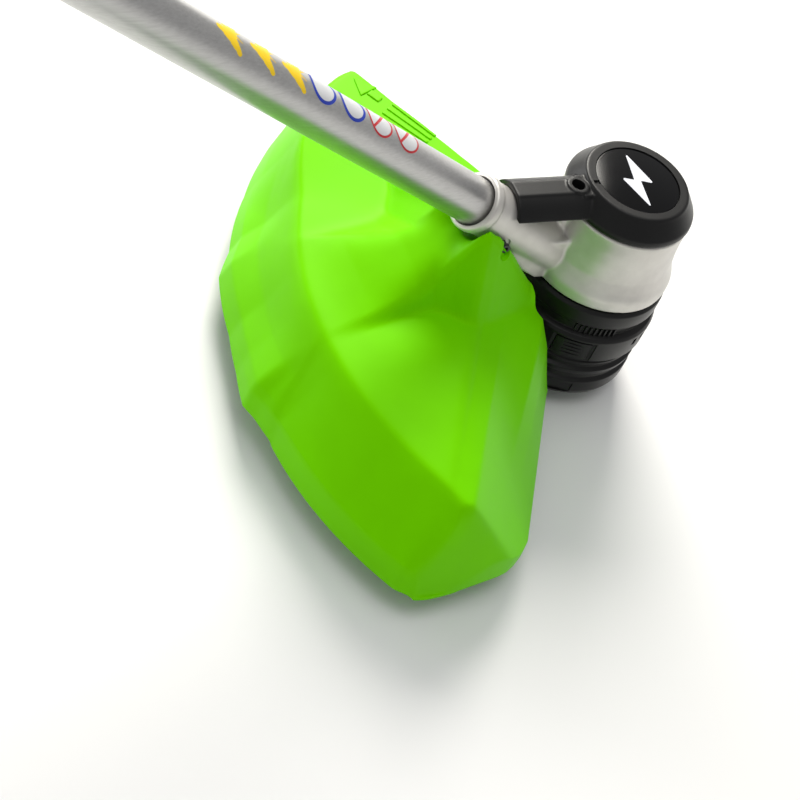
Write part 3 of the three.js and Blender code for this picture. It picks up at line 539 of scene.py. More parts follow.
def guard_height(x, y):
    radius = np.hypot(x, y)
    bearing = np.degrees(np.arctan2(-x, y))
    steep = 1 - smooth_step(bearing, -45, -20)
    plate = -1 + steep - 6 * (1 - steep) * smooth_step(radius, 110, 210)
    # The mound cradles the collar between two crests, then falls away from it.
    collar = collar_underside(y) - 1.4
    middle = soft_min(1.5, slope(y, MOUND_MIDDLE), collar)
    edge = slope(y, MOUND_EDGE)
    half = slope(y, MOUND_HALF)
    share = np.minimum(1, np.abs(x) / half) ** 3
    beside = np.maximum(0, np.abs(x) - half)
    near = 0.9 * np.minimum(beside, MOUND_SHOULDER) + 2.5 * np.maximum(0, beside - MOUND_SHOULDER)
    mound = blended(share, middle, edge) - np.where(x < 0, near, 0.7 * beside) - 0.5
    rim = rim_radius(bearing)
    inward = rim - radius
    # The ridge above the skirt is a smooth arc, although the rim below it has corners.
    inward += (np.minimum(slope(bearing, RIDGE), rim + 3) - rim) * smooth_step(inward, 5, 27)
    rounded = slope(inward, ((0, GUARD_RIM_Z), (4, -50), (14, -36), (27, -5), (34, 12)))
    straight = slope(inward, ((0, GUARD_RIM_Z), (1.5, -46), (27, -7), (34, 8)))
    upright = slope(inward, ((0, GUARD_RIM_Z), (6, -40), (18, -2), (22, 16)))
    skirt = blended(steep, blended(smooth_step(bearing, -5, 22), rounded, straight), upright)
    reach = from_end(x, y, GUARD_TO)
    tall = slope(reach, ((0, GUARD_RIM_Z), (13, -30), (22, -14), (47, -5), (58, -1), (66, 12)))
    broad = slope(reach, ((0, GUARD_RIM_Z), (45, -10), (57, -4), (70, 12)))
    long_end = blended(smooth_step(radius, 60, 150), tall, broad)
    corner = slope(x + 164.5, ((0, GUARD_RIM_Z), (13, -8), (17, 9)))
    short_end = slope(from_end(x, y, GUARD_FROM), ((0, GUARD_RIM_Z), (4, -2), (7, 30)))
    base = soft_min(3.2, plate, skirt, long_end, corner, short_end)
    return soft_max(2.0, base, soft_min(2.0, mound, skirt, corner, short_end))


def guard_plan(across, out):
    rim_bearing = np.radians(GUARD_FROM + (GUARD_TO - GUARD_FROM) * across)
    turn = 0.9
    first = GUARD_FROM + (14 - GUARD_FROM) * np.clip(across / turn, 0, 1) ** 0.8
    last = 14 + (GUARD_TO - 14) * np.clip((across - turn) / (1 - turn), 0, 1)
    inner_bearing = np.radians(np.where(across < turn, first, last))
    rim = rim_radius(np.degrees(rim_bearing))
    x = -GUARD_INNER * np.sin(inner_bearing) * (1 - out) - rim * np.sin(rim_bearing) * out
    y = GUARD_INNER * np.cos(inner_bearing) * (1 - out) + rim * np.cos(rim_bearing) * out
    return x, y


def guard_normal(x, y, h=0.4):
    nx = -(guard_height(x + h, y) - guard_height(x - h, y)) / (2 * h)
    ny = -(guard_height(x, y + h) - guard_height(x, y - h)) / (2 * h)
    size = np.sqrt(nx * nx + ny * ny + 1)
    return nx / size, ny / size, 1 / size


def closed_shell(name, upper, lower, place):
    """A closed solid between two grids of points, each of shape rows x columns x 3."""
    rows, columns = upper.shape[:2]
    points = np.concatenate((upper.reshape(-1, 3), lower.reshape(-1, 3)))
    count = rows * columns
    at = lambda r, c, k: k * count + r * columns + c
    faces = []
    for r in range(rows - 1):
        for c in range(columns - 1):
            faces.append((at(r, c, 0), at(r, c + 1, 0), at(r + 1, c + 1, 0), at(r + 1, c, 0)))
            faces.append((at(r, c, 1), at(r + 1, c, 1), at(r + 1, c + 1, 1), at(r, c + 1, 1)))
    edge = [(0, c) for c in range(columns)] + [(r, columns - 1) for r in range(1, rows)]
    edge += [(rows - 1, c) for c in range(columns - 2, -1, -1)] + [(r, 0) for r in range(rows - 2, 0, -1)]
    for (r0, c0), (r1, c1) in zip(edge, edge[1:] + edge[:1]):
        faces.append((at(r0, c0, 0), at(r0, c0, 1), at(r1, c1, 1), at(r1, c1, 0)))
    obj = from_points(name, points.tolist(), faces, place)
    return faced_outward(obj)


def make_guard(columns=230, rows=130):
    across, out = np.meshgrid(np.linspace(0, 1, columns), np.linspace(0, 1, rows))
    across = across - 0.06 * np.sin(2 * math.pi * across)
    out = 1 - (1 - out) ** 1.4
    x, y = guard_plan(across, out)
    z = guard_height(x, y)
    nx, ny, nz = guard_normal(x, y)
    upper = np.stack((x, y, z), axis=-1)
    lower = np.stack((x - GUARD_WALL * nx, y - GUARD_WALL * ny, z - GUARD_WALL * nz), axis=-1)
    shell = closed_shell("guard", upper, lower, HEAD_FRAME)

    def under(y):
        return (y, collar_underside(y) + GAP)

    web_outline = [(30, -12), under(48), under(77), (77, 45), (30, 45)]
    web_room = prism("web_room", web_outline, WEB_HALF + GAP, HEAD_FRAME)
    collar_room = rod("collar_room", COLLAR_R + GAP, 30, 124, 96, SHAFT_FRAME @ TO_Y)
    screw_rooms = [rod("screw_room", CLAMP_HEAD_R, 0, 18, 48,
                         shaft_at(side * 11, CLAMP_S, CLAMP_DROP) @ TO_SIDE[side])
                   for side in SIDES]
    carve(shell, web_room, collar_room)
    bevelled(shell, 0.7, 3, 55)
    carve(shell, *screw_rooms)
    return shade_smooth(shell, 40)


def on_guard(x, y, lift):
    """Points a little off the guard's outer face, over the given places in plan."""
    x, y = np.asarray(x, float), np.asarray(y, float)
    nx, ny, nz = guard_normal(x, y)
    return np.stack((x + nx * lift, y + ny * lift, guard_height(x, y) + nz * lift), axis=-1)


def guard_ribbon(name, line, width, lift=0.7):
    """A raised bar along a line in plan, moulded on the guard."""
    line = [Vector(p) for p in line]
    left, right = [], []
    for i, p in enumerate(line):
        along = (line[min(i + 1, len(line) - 1)] - line[max(i - 1, 0)]).normalized()
        side = Vector((-along.y, along.x)) * (width[i] if isinstance(width, list) else width) / 2
        left.append(p + side)
        right.append(p - side)
    shares = np.linspace(0, 1, 5)
    plan = np.array([[(l.lerp(r, t).x, l.lerp(r, t).y) for t in shares] for l, r in zip(left, right)])
    upper = on_guard(plan[..., 0], plan[..., 1], lift)
    lower = on_guard(plan[..., 0], plan[..., 1], -0.6)
    bar = closed_shell(name, upper, lower, HEAD_FRAME)
    bevelled(bar, 0.3, 2, 50)
    bar.data.shade_smooth()
    return bar


guard = make_guard()
finish_piece(guard, "frame", "green_plastic", "guard_shell")


def polar(radius, bearing):
    return (-radius * math.sin(math.radians(bearing)), radius * math.cos(math.radians(bearing)))


# Raised arrow that shows which way the line turns, and plain bars beside it, on the short wing.
raised = {
    "guard_arrow_tip": ([polar(178 - 0.9 * k, -56.6 + 0.05 * k) for k in range(15)],
                        [0.6 + 0.95 * k for k in range(15)]),
    "guard_arrow_stem": ([polar(165 - 1.2 * k, -55.9) for k in range(8)], 5.0),
    "guard_bar_1": ([polar(150 - 1.4 * k, -57.3) for k in range(24)], 2.2),
    "guard_bar_2": ([polar(150 - 1.4 * k, -55.2) for k in range(24)], 2.2),
    "guard_bar_3": ([polar(150 - 1.4 * k, -53.1) for k in range(24)], 2.2),
}
for name, (line, width) in raised.items():
    finish_piece(guard_ribbon(name, line, width), "frame", "green_plastic")

# Screw bosses under the guard's saddle.
for number, s in enumerate(GUARD_SCREWS):
    outline = filleted([(2.4, -29), (5, -29), (5, -19)], [0, 0.6, 0], False)
    boss = lathe(f"guard_boss_{number + 1}", [(2.4, -19)] + outline, 32, shaft_at(0, s, 0), closed=True)
    shade_smooth(boss)
    finish_piece(boss, "frame", "green_plastic")


# ---------------------------------------------------------------- motor housing
NECK_R = 15.6
WEB_OVERLAP = 1.0  # how far the web under the collar runs into it
CAN_PROFILE = [
    (0, 0), (42.6, 0), (43.8, 1.1), (43.8, 6.6), (43.3, 8.6), (41.5, 13), (39.5, 19), (38.2, 28),
    (37.5, 37), (37.5, 47), (0, 47)]


def make_housing():
    can = lathe("can", filleted(CAN_PROFILE, [0, 0.8, 0.8, 2.5, 3, 6, 6, 6, 3, 1.2, 0]), 128)
    neck = shaft_rod("neck", NECK_R, 20, 113)
    ring = along_shaft("ring", filleted(rectangle(0, 111.5, COLLAR_R, 118), [0, 1.2, 1.6, 0]))

    def under(y):
        return (y, collar_underside(y) + WEB_OVERLAP)

    web = prism("web", [(20, 0.6), under(48), under(60), under(76), (66, 30), (20, 30)], 13.6, HEAD_FRAME)
    boss = rod("boss", 5.4, 20, 47, 48, CAP_SCREW_PLACE)
    body = joined("housing", can, neck, ring, web, boss)
    melted(body, 0.75, 10)
    # Bores and rooms, cut after the skin is melted so that their edges stay crisp.
    room = rod("room", 34.5, 5, 60, 96)
    shaft_hole = rod("hole", 5.5, -2, 6, 48)
    bore = along_shaft("bore", [(0, 83.7), (13.3, 83.7), (13.3, 116.6), (14.4, 118.6), (14.4, 125),
                                (0, 125)])
    under_flange = box_at("low", (-70, -70, -40), (70, 110, 0.0), HEAD_FRAME)
    tools = [room, shaft_hole, bore, under_flange]
    for side in SIDES:
        pocket = lathe("pocket", filleted(rectangle(0, 0, CLAMP_HEAD_R, 20), [0, 1, 0, 0]), 40,
                       shaft_at(side * 14.2, CLAMP_S, CLAMP_DROP) @ TO_SIDE[side])
        tools.append(pocket)
    for s in GUARD_SCREWS:
        tools.append(rod("guard_hole", 2.3, -24, -13.5, 24, shaft_at(0, s, 0)))
    tools.append(rod("screw_hole", 2.1, 33, 50, 24, CAP_SCREW_PLACE))
    carve(body, *tools)
    seat = lathe("bearing_boss", filleted(rectangle(11.3, 4.6, 14, 36), [0, 0, 0.8, 0.5], True), 64,
                 closed=True)
    body = joined("housing", body, seat)
    shade_smooth(body, 40)
    return body


housing = make_housing()
finish_piece(housing, "frame", "cast_metal", "motor_housing")


# ---------------------------------------------------------------- top cap with its arm
CAP_TOP = 62.0
ARM_END_Y = 77.8
ARM_R = 18.4
ARM_LOW = 49.5
ARM_HALF = 5.6
ARM_TOP = 60
ROOF_START_Y = 20


def make_roof():
    """The level arm: the section that fits over the collar at the arm's end, run back to the dome."""
    axis_height = ARM_END_Y * SHAFT_TAN + AXIS_DROP
    rise = ARM_R / SHAFT.y
    low_half = ARM_R * math.sqrt(1 - ((ARM_LOW - axis_height) / rise) ** 2)
    half = [low_half + (ARM_HALF - low_half) * k / 14 for k in range(15)]
    side = [(x, min(ARM_TOP, axis_height + rise * math.sqrt(1 - (x / ARM_R) ** 2))) for x in half]
    outline = side + [(-x, z) for x, z in reversed(side)]
    near, far = ([(x, y, z) for x, z in outline] for y in (ROOF_START_Y, ARM_END_Y))
    return between("roof", near, far, HEAD_FRAME)


def make_cap():
    dome = lathe("dome", filleted(
        [(0, 47.3), (37.2, 47.3), (38.0, 48.6), (37.6, 51.5), (31.4, 60.0), (30.2, CAP_TOP),
         (0, CAP_TOP)],
        [0, 0.5, 1.2, 3.0, 2.0, 1.3, 0]), 128)
    arm = prism("arm", rectangle(20, 42, 77.6, 60), 5.6, HEAD_FRAME)
    saddle = make_roof()
    ring = rod("ring", 6.2, 47, 60.9, 48, CAP_SCREW_PLACE)
    flare = prism("flare", rectangle(22, 48, 37, 60), 8.2, HEAD_FRAME)
    body = joined("cap", dome, arm, saddle, ring, flare)
    melted(body, 0.55, 5)
    badge_seat = rod("seat", 25, 60, 70, 128)
    inside = lathe("inside", [(0, 40), (33.6, 40), (33.6, 50), (26, 57), (0, 57)], 96)
    can = lathe("can_room", [(0, 0), (44, 0), (44, 8), (41.8, 13), (39.8, 19), (38.3, 28), (37.8, 37),
                             (37.8, 47.3), (0, 47.3)], 96)
    neck = shaft_rod("neck_room", 15.9, 10, 130, 96)
    boss = rod("boss_room", 5.6, 10, 47.3, 48, CAP_SCREW_PLACE)
    web = box_at("web_room", (-WEB_HALF - GAP, 10, 0), (WEB_HALF + GAP, 70, 30.3), HEAD_FRAME)
    well = lathe("well", filleted([(0, 52), (3.8, 52), (3.8, 60.3), (4.3, 62), (0, 62)], 0), 40,
                 CAP_SCREW_PLACE)
    through = rod("through", 2.1, 30, 55, 24, CAP_SCREW_PLACE)
    notch = box_at("notch", (-1.4, 23, 60.9), (1.4, 28.4, 64), HEAD_FRAME)
    carve(body, badge_seat, inside, can, neck, boss, web, well, through, notch)
    return shade_smooth(body, 40)


cap = make_cap()
finish_piece(cap, "frame", "black_plastic", "top_cap")

badge = lathe("badge", filleted([(0, 60.3), (24.7, 60.3), (24.7, 61.5), (0, 61.7)], [0, 0.2, 0.5, 0]),
              128)
shade_smooth(badge, 50)
finish_piece(badge, "frame", "gloss_black", "cap_badge")


# ---------------------------------------------------------------- spool head
HEAD_BAND = 46.3
LATCH_BEARING = math.radians(62)
LATCH_Z = centre("cover_latch_left").z - FLANGE_Z


def about_head(bearing, x=0.0, y=0.0, z=0.0):
    """A place on the head: turned by the bearing about the spin axis, then moved."""
    return HEAD_FRAME @ Matrix.Rotation(bearing, 4, "Z") @ Matrix.Translation((x, y, z))


def make_spool_housing():
    profile = [
        (4.3, -50), (9, -50), (9, -6), (39.3, -6), (39.3, -52.5), (43, -52.5), (45.2, -51.9),
        (45.6, -48.6),
        (43.2, -47.2), (43.2, -44.6), (44.3, -43.9), (44.3, -42.6), (43.2, -41.9), (43.2, -40.2),
        (HEAD_BAND, -38.6),
        (HEAD_BAND, -23), (45.0, -21), (41.8, -20), (41.8, -13.5), (44.5, -12.5), (44.3, -3),
        (42.5, -1.2), (4.3, -1.2)]
    radii = [0.3, 0.4, 2, 1, 0.3, 0.4, 0.6, 0.6, 0.5, 0.4, 0.4, 0.4, 0.4, 0.5, 1.0, 1.0, 0.8, 0.6, 0.6,
             0.6, 1.2, 0.8, 0.3]
    body = lathe("spool_housing_skin", filleted(profile, radii, True, 3), 160, closed=True)
    tools = []
    for turn in (0, math.pi):
        bearing = LATCH_BEARING + turn
        tools.append(box_at("window", (-11, 36, LATCH_Z - 6.5), (11, 50, LATCH_Z + 6.5),
                            about_head(bearing)))
        tools.append(box_at("frame", (-13.2, 43.6, LATCH_Z - 7.9), (13.2, 50, LATCH_Z + 7.9),
                            about_head(bearing)))
        tools.append(rod("eye_hole", 5, 36, 50, 40, about_head(bearing - math.pi / 2, z=-30) @ TO_Y))
        for k in range(5):
            tools.append(box_at("slot", (-1.6, 43.4, -30.5), (1.6, 50, -25.5),
                                about_head(bearing + math.radians(52 + 9 * k))))
    carve(body, *tools)
    ribs = []
    for turn in (0, math.pi):
        for k in range(9):
            bearing = math.radians(58 + 4 * k) + turn
            ribs.append(box_at("rib", (-0.45, 41.0, -20.4), (0.45, 43.2, -14.4), about_head(bearing)))
    body = joined("spool_housing_skin", body, *ribs)
    return shade_smooth(body, 32)


finish_piece(make_spool_housing(), "spool_head", "black_plastic", "spool_housing")


def make_spool_cover():
    profile = [
        (24.8, -72), (41, -72), (44.6, -69.6), (46, -66), (46, -58), (43.6, -56.5), (43.2, -52.8),
        (39.5, -52.8),
        (39.5, -68.6), (24.8, -68.6)]
    body = lathe("spool_cover_skin", filleted(profile, [0.5, 1.5, 2, 2, 1, 0.6, 0.4, 0.4, 1, 0.4], True,
                                              3), 160, closed=True)
    tools = []
    for k in range(4):
        bearing = LATCH_BEARING + math.radians(4) + k * math.pi / 2
        tools.append(box_at("thumb", (-9, 44.3, -67.5), (9, 50, -59.5), about_head(bearing)))
        tools.append(box_at("slit", (-1.2, 27, -73), (1.2, 37, -70.8), about_head(bearing + 0.4)))
    for k in range(24):
        tools.append(box_at("tread", (-1.4, 37.8, -73), (1.4, 43, -70.9), about_head(k * TAU / 24)))
    carve(body, *tools)
    return shade_smooth(body, 32)


finish_piece(make_spool_cover(), "spool_head", "black_plastic", "spool_cover")


def make_bump_knob():
    profile = [
        (0, -80), (16, -80), (22, -77.4), (24, -73), (24, -68.2), (27, -68.2), (27, -65.5), (20, -65.5),
        (20, -75.5),
        (8, -75.5), (8, -66), (0, -66)]
    body = lathe("knob", filleted(profile, [0, 1.5, 2.5, 1.2, 0.5, 0.6, 0.6, 0.5, 1, 1, 0.6, 0]), 96)
    tools = []
    for k in range(12):
        tools.append(box_at("flute", (-1.5, 23.1, -74), (1.5, 30, -69.4), about_head(k * TAU / 12)))
        tools.append(box_at("dimple", (-1.0, 8, -81), (1.0, 14, -79.4), about_head((k + 0.5) * TAU / 12)))
    carve(body, *tools)
    return shade_smooth(body, 32)


finish_piece(make_bump_knob(), "knob", "black_plastic", "bump_knob")


def make_latch(name, bearing):
    body = lathe(name, rectangle(41.8, LATCH_Z - 6.2, 45.5, LATCH_Z + 6.2), 160, closed=True)
    keep = box_at("keep", (-10.7, 36, -60), (10.7, 50, 0), about_head(bearing))
    boolean(body, "INTERSECT", keep)
    grooves = [box_at("groove", (-8, 45.0, LATCH_Z - 4.1 + 2.6 * k), (5.5, 50, LATCH_Z - 3.0 + 2.6 * k),
                      about_head(bearing))
               for k in range(4)]
    carve(body, *grooves)
    bevelled(body, 0.35, 2, 40)
    return shade_smooth(body, 40)


for side, turn in (("left", math.pi), ("right", 0)):
    latch = make_latch("latch_skin_" + side, LATCH_BEARING + turn)
    finish_piece(latch, "latch_" + side, "black_plastic", "cover_latch_" + side)
    eyelet = lathe("eyelet_skin_" + side,
                   filleted([(2.2, 40.5), (4.6, 40.5), (4.6, 46.4), (5.8, 46.5), (5.8, 46.9), (3.4, 47.0),
                             (2.2, 46.4)],
                            [0.2, 0.2, 0, 0.2, 0.2, 0.8, 0.4], True),
                   48, about_head(LATCH_BEARING + turn - math.pi / 2, z=-30) @ TO_Y, True)
    shade_smooth(eyelet, 40)
    finish_piece(eyelet, "spool_head", "steel", "line_eyelet_" + side, look=LOOKS["dark_steel"])


# ---------------------------------------------------------------- badge mark
MARK_TOP = 61.85


def flat_mark(name, outline, bottom, top, place):
    """An outline in the XY plane, raised from bottom to top."""
    near, far = ([(x, y, z) for x, y in outline] for z in (bottom, top))
    return between(name, near, far, place)


mark_white = moulded("mark_white", (0.78, 0.8, 0.86), 0.03, 0.3, 700, 0.05)
bolt_outline = filleted(
    [(20.5, -1.5), (-3.0, -9.0), (-0.5, -1.6), (-20.5, 1.2), (2.6, 9.4), (0.4, 2.2)],
    [0.5, 0.9, 0.5, 0.5, 0.9, 0.5], True)
badge_mark = flat_mark("badge_mark", bolt_outline, 61.2, MARK_TOP, HEAD_FRAME)
bevelled(badge_mark, 0.08, 2, 40)
finish_piece(badge_mark, "frame", "gloss_black", look=mark_white)


# ---------------------------------------------------------------- shaft tube and its printed marks
TUBE_FROM, TUBE_TO = 84.0, 1300.0
tube = along_shaft("tube_skin", filleted(
    rectangle(TUBE_R - 1.5, TUBE_FROM, TUBE_R, TUBE_TO),
    0.35, True, 3), 128, True)
shade_smooth(tube, 50)
finish_piece(tube, "frame", "tube_metal", "shaft_tube")


def printed(name, loops, along, around, height, look):
    """Closed loops of flat points, outermost first, wrapped on the tube as a thin print."""
    radius = TUBE_R + height
    points, faces = [], []
    for loop in loops:
        for u, v in loop:
            turn = (around + v) / TUBE_R
            points.append((-radius * math.sin(turn), along + u, radius * math.cos(turn)))
    count = len(loops[0])
    for row in range(len(loops) - 1):
        for k in range(count):
            n = (k + 1) % count
            faces.append((row * count + k, row * count + n, (row + 1) * count + n, (row + 1) * count + k))
    obj = from_points(name, points, faces, SHAFT_FRAME)
    obj.data.shade_smooth()
    return finish_piece(obj, "frame", "tube_metal", look=look)


def circle(radius, count=48):
    return [(radius * math.cos(TAU * k / count), radius * math.sin(TAU * k / count))
            for k in range(count)]


def shrunk(outline, steps=6):
    """An outline and copies of it drawn in towards its middle."""
    middle = sum((Vector(p) for p in outline), Vector((0, 0))) / len(outline)
    return [[tuple(middle + (Vector(p) - middle) * (1 - k / steps * 0.999)) for p in outline]
            for k in range(steps + 1)]


def split_edges(outline, parts=8):
    result = []
    for k, point in enumerate(outline):
        a, b = Vector(point), Vector(outline[(k + 1) % len(outline)])
        result += [tuple(a.lerp(b, j / parts)) for j in range(parts)]
    return result


print_yellow = moulded("print_yellow", (0.9, 0.6, 0.0), 0.04, 0.45, 900, 0.05)
print_blue = moulded("print_blue", (0.01, 0.04, 0.42), 0.06, 0.45, 900, 0.05)
print_red = moulded("print_red", (0.55, 0.02, 0.03), 0.06, 0.45, 900, 0.05)
print_white = moulded("print_white", (0.62, 0.63, 0.65), 0.04, 0.45, 900, 0.05)
for number, along in enumerate((317.2, 294.6, 272.4)):
    corners = filleted([(0, 10.6), (0, -10.6), (18.5, 0)], 1.4, True, 4)
    printed(f"print_triangle_{number + 1}", shrunk(split_edges(corners, 3)), along, 1.0, 0.05,
            print_yellow)
for number, (along, look) in enumerate(((259.3, print_blue), (236.7, print_blue), (215.1, print_red),
                                        (193.4, print_red))):
    wide = 1.7 if look is print_blue else 1.1
    printed(f"print_disc_{number + 1}", shrunk(circle(9.4 - wide)), along, 0.3, 0.04, print_white)
    printed(f"print_ring_{number + 1}", [circle(9.5), circle(9.5 - wide)], along, 0.3, 0.06, look)
for number, along in enumerate((215.1, 193.4)):
    bar = [(-6.4, -5.3), (-5.4, -6.4), (6.4, 5.3), (5.4, 6.4)]
    printed(f"print_bar_{number + 1}", shrunk(split_edges(bar, 8), 3), along, 0.3, 0.08, print_red)


# ---------------------------------------------------------------- loop handle
HANDLE_S = round(along_of(centre("handle_clamp_plate")))
BOLT_X = 20  # bolts on each side of the tube


def curve_points(knots, steps):
    """A smooth curve through the knots."""
    knots = [Vector(k) for k in knots]
    padded = [knots[0] * 2 - knots[1], *knots, knots[-1] * 2 - knots[-2]]
    result = []
    for i in range(1, len(padded) - 2):
        p0, p1, p2, p3 = padded[i - 1:i + 3]
        for k in range(steps):
            t = k / steps
            result.append(0.5 * (2 * p1 + (p2 - p0) * t + (2 * p0 - 5 * p1 + 4 * p2 - p3) * t * t
                                 + (3 * p1 - p0 - 3 * p2 + p3) * t ** 3))
    return [*result, knots[-1]]


def swept(name, centres, radii, sides=32, place=None):
    """A round bar along a line of centres, with flat ends."""
    points, faces = [], []
    tangent = (centres[1] - centres[0]).normalized()
    side = tangent.orthogonal().normalized()
    last = len(centres) - 1
    for i, centre_point in enumerate(centres):
        ahead = (centres[min(i + 1, last)] - centres[max(i - 1, 0)]).normalized()
        side = (side - ahead * side.dot(ahead)).normalized()
        other = ahead.cross(side)
        points += [centre_point + (side * math.cos(TAU * k / sides)
                                   + other * math.sin(TAU * k / sides)) * radii[i]
                   for k in range(sides)]
    for i in range(last):
        for k in range(sides):
            n = (k + 1) % sides
            faces.append((i * sides + k, i * sides + n, (i + 1) * sides + n, (i + 1) * sides + k))
    faces.append(tuple(reversed(range(sides))))
    faces.append(tuple(range(last * sides, (last + 1) * sides)))
    return from_points(name, points, faces, place)


SPRING_R, SPRING_WIRE, SPRING_LOW, SPRING_HIGH, SPRING_TURNS = 14, 1, -73.8, -58.6, 5.5


def make_bump_spring():
    """A coil whose first and last three quarters of a turn lie flat."""
    centres = []
    for k in range(int(SPRING_TURNS * 36) + 1):
        turn = k / 36
        rise = min(1, max(0, (turn - 0.75) / (SPRING_TURNS - 1.5)))
        centres.append(Vector((SPRING_R * math.cos(turn * TAU), SPRING_R * math.sin(turn * TAU),
                               SPRING_LOW + (SPRING_HIGH - SPRING_LOW) * rise)))
    return shade_smooth(swept("bump_spring_skin", centres, [SPRING_WIRE] * len(centres), 16, HEAD_FRAME),
                        60)


bump_spring = make_bump_spring()
finish_piece(bump_spring, "spool_head", "steel", "bump_spring")
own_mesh(bump_spring)


side_knots = [(26, 0, 20), (55, 1, 30), (76, 3, 62), (76, 6, 100), (52, 9, 130), (18, 10, 138)]
loop_knots = [(x, HANDLE_S + y, z) for x, y, z in side_knots]
loop_knots += [(-x, HANDLE_S + y, z) for x, y, z in reversed(side_knots)]
loop_line = curve_points(loop_knots, 12)


def make_loop_handle():
    loop = swept("loop", loop_line, [8.5] * len(loop_line), 32, SHAFT_FRAME)
    saddle_shape = filleted(rectangle(HANDLE_S - 22, 1, HANDLE_S + 22, 30), [1, 1, 7, 7], True)
    saddle = prism("saddle", saddle_shape, 28, SHAFT_FRAME)
    shoulder = [(x, HANDLE_S + y, z) for x, y, z in ((-34, 0, 17), (34, 0, 17))]
    bar = swept("bar", [Vector(p) for p in shoulder], [11, 11], 32, SHAFT_FRAME)
    body = joined("loop_handle_skin", loop, saddle, bar)
    melted(body, 1.0, 6)
    below = box_at("below", (-60, HANDLE_S - 40, -20), (60, HANDLE_S + 40, 1), SHAFT_FRAME)
    tube_room = shaft_rod("room", TUBE_R + GAP, HANDLE_S - 40, HANDLE_S + 40, 96)
    tools = [below, tube_room]
    for side in SIDES:
        place = shaft_at(side * BOLT_X, HANDLE_S, 0)
        tools.append(rod("bolt_hole", 3, -2, 24, 32, place))
        tools.append(rod("bolt_well", 5.8, 22, 42, 40, place))
        tools.append(box_at("panel", (side * 8, HANDLE_S - 23, 8), (side * 24, HANDLE_S - 21, 22),
                            SHAFT_FRAME))
        tools.append(box_at("panel", (side * 8, HANDLE_S + 21, 8), (side * 24, HANDLE_S + 23, 22),
                            SHAFT_FRAME))
    carve(body, *tools)
    return shade_smooth(body, 40)


finish_piece(make_loop_handle(), "handle", "black_plastic", "loop_handle")


def make_loop_grip():
    count = len(loop_line)
    first, last = int(count * 0.27), int(count * 0.73)
    line = loop_line[first:last]
    fine = curve_points(line, 5)
    radii, inner = [], []
    for i in range(len(fine)):
        t = i / (len(fine) - 1)
        rib = 0.7 * (0.5 + 0.5 * math.cos(i * TAU / 6))
        ends = min(1, t / 0.03, (1 - t) / 0.03)
        radii.append(9.4 + 1.9 * ends ** 0.5 - (rib if 0.06 < t < 0.94 else 0))
        inner.append(8.7)
    skin = swept("loop_grip_skin", fine, radii, 40, SHAFT_FRAME)
    core = swept("core", [fine[0] * 2 - fine[1], *fine[1:-1], fine[-1] * 2 - fine[-2]], inner, 32,
                 SHAFT_FRAME)
    carve(skin, core)
    return shade_smooth(skin, 45)


finish_piece(make_loop_grip(), "handle", "rubber", "loop_grip")


def make_clamp_plate():
    shape = filleted(rectangle(HANDLE_S - 18, -25, HANDLE_S + 18, -1), [5, 5, 1, 1], True)
    plate = prism("clamp_plate", shape, 28, SHAFT_FRAME)
    bevelled(plate, 2.0, 3, 50)
    apply_modifiers(plate)
    room = shaft_rod("room", TUBE_R + GAP, HANDLE_S - 40, HANDLE_S + 40, 96)
    tools = [room]
    for side in SIDES:
        tools.append(rod("hole", 3, -27, 0, 32, shaft_at(side * BOLT_X, HANDLE_S, 0)))
        for k in (-1, 0, 1):
            tools.append(box_at("rib", (side * 27, HANDLE_S + 8 * k - 2, -20),
                                (side * 30, HANDLE_S + 8 * k + 2, -6),
                                SHAFT_FRAME))
    carve(plate, *tools)
    return shade_smooth(plate, 40)


finish_piece(make_clamp_plate(), "handle", "black_plastic", "handle_clamp_plate")


def make_handle_knob():
    place = shaft_at(-BOLT_X, HANDLE_S, 0)
    hub = lathe("hub", filleted([(0, -38.5), (8, -38.5), (9.4, -33), (10, -25.6), (0, -25.6)],
                                [0, 1.2, 2, 0.6, 0]), 64, place)
    wings = []
    for side in SIDES:
        wing_shape = filleted([(4, -29.5), (17, -28.2), (19, -32), (18.4, -40), (13, -40), (4, -36)],
                              [0, 2, 2, 2, 2.5, 0], True)
        wing = prism("wing", [(side * y, z) for y, z in wing_shape], 2.8, place
                     @ Matrix.Rotation(math.pi / 2, 4, "Z"))
        wings.append(wing)
    body = joined("handle_knob_skin", hub, *wings)
    melted(body, 0.5, 4)
    thread = rod("thread", 3, -44, -20, 32, place)
    carve(body, thread)
    return shade_smooth(body, 40)


finish_piece(make_handle_knob(), "handle_screw", "black_plastic", "handle_knob")


# ---------------------------------------------------------------- strap hanger
def make_hanger_clamp():
    band = along_shaft("band", filleted(rectangle(0, HANGER_S - 9, 16.5, HANGER_S + 9),
                                        [0, 1.0, 1.0, 0]), 96)
    lug_shape = filleted([(HANGER_S - 7, -14), (HANGER_S - 7, -30), (HANGER_S + 7, -30),
                          (HANGER_S + 7, -14)], [0, 6, 6, 0], True, 8)
    lug = prism("lug", lug_shape, 2, SHAFT_FRAME)
    body = joined("hanger_clamp_skin", band, lug)
    melted(body, 0.5, 3)
    room = shaft_rod("room", TUBE_R + GAP, HANGER_S - 12, HANGER_S + 12, 96)
    eye = rod("eye", 2.6, -4, 4, 40, shaft_at(0, HANGER_S, -24) @ TO_X)
    grooves = [along_shaft("groove", rectangle(16.1, HANGER_S + g - 0.5, 18, HANGER_S + g + 0.5), 96,
                           True) for g in (-5, 5)]
    carve(body, room, eye, *grooves)
    return shade_smooth(body, 40)


finish_piece(make_hanger_clamp(), "frame", "steel", "hanger_clamp")

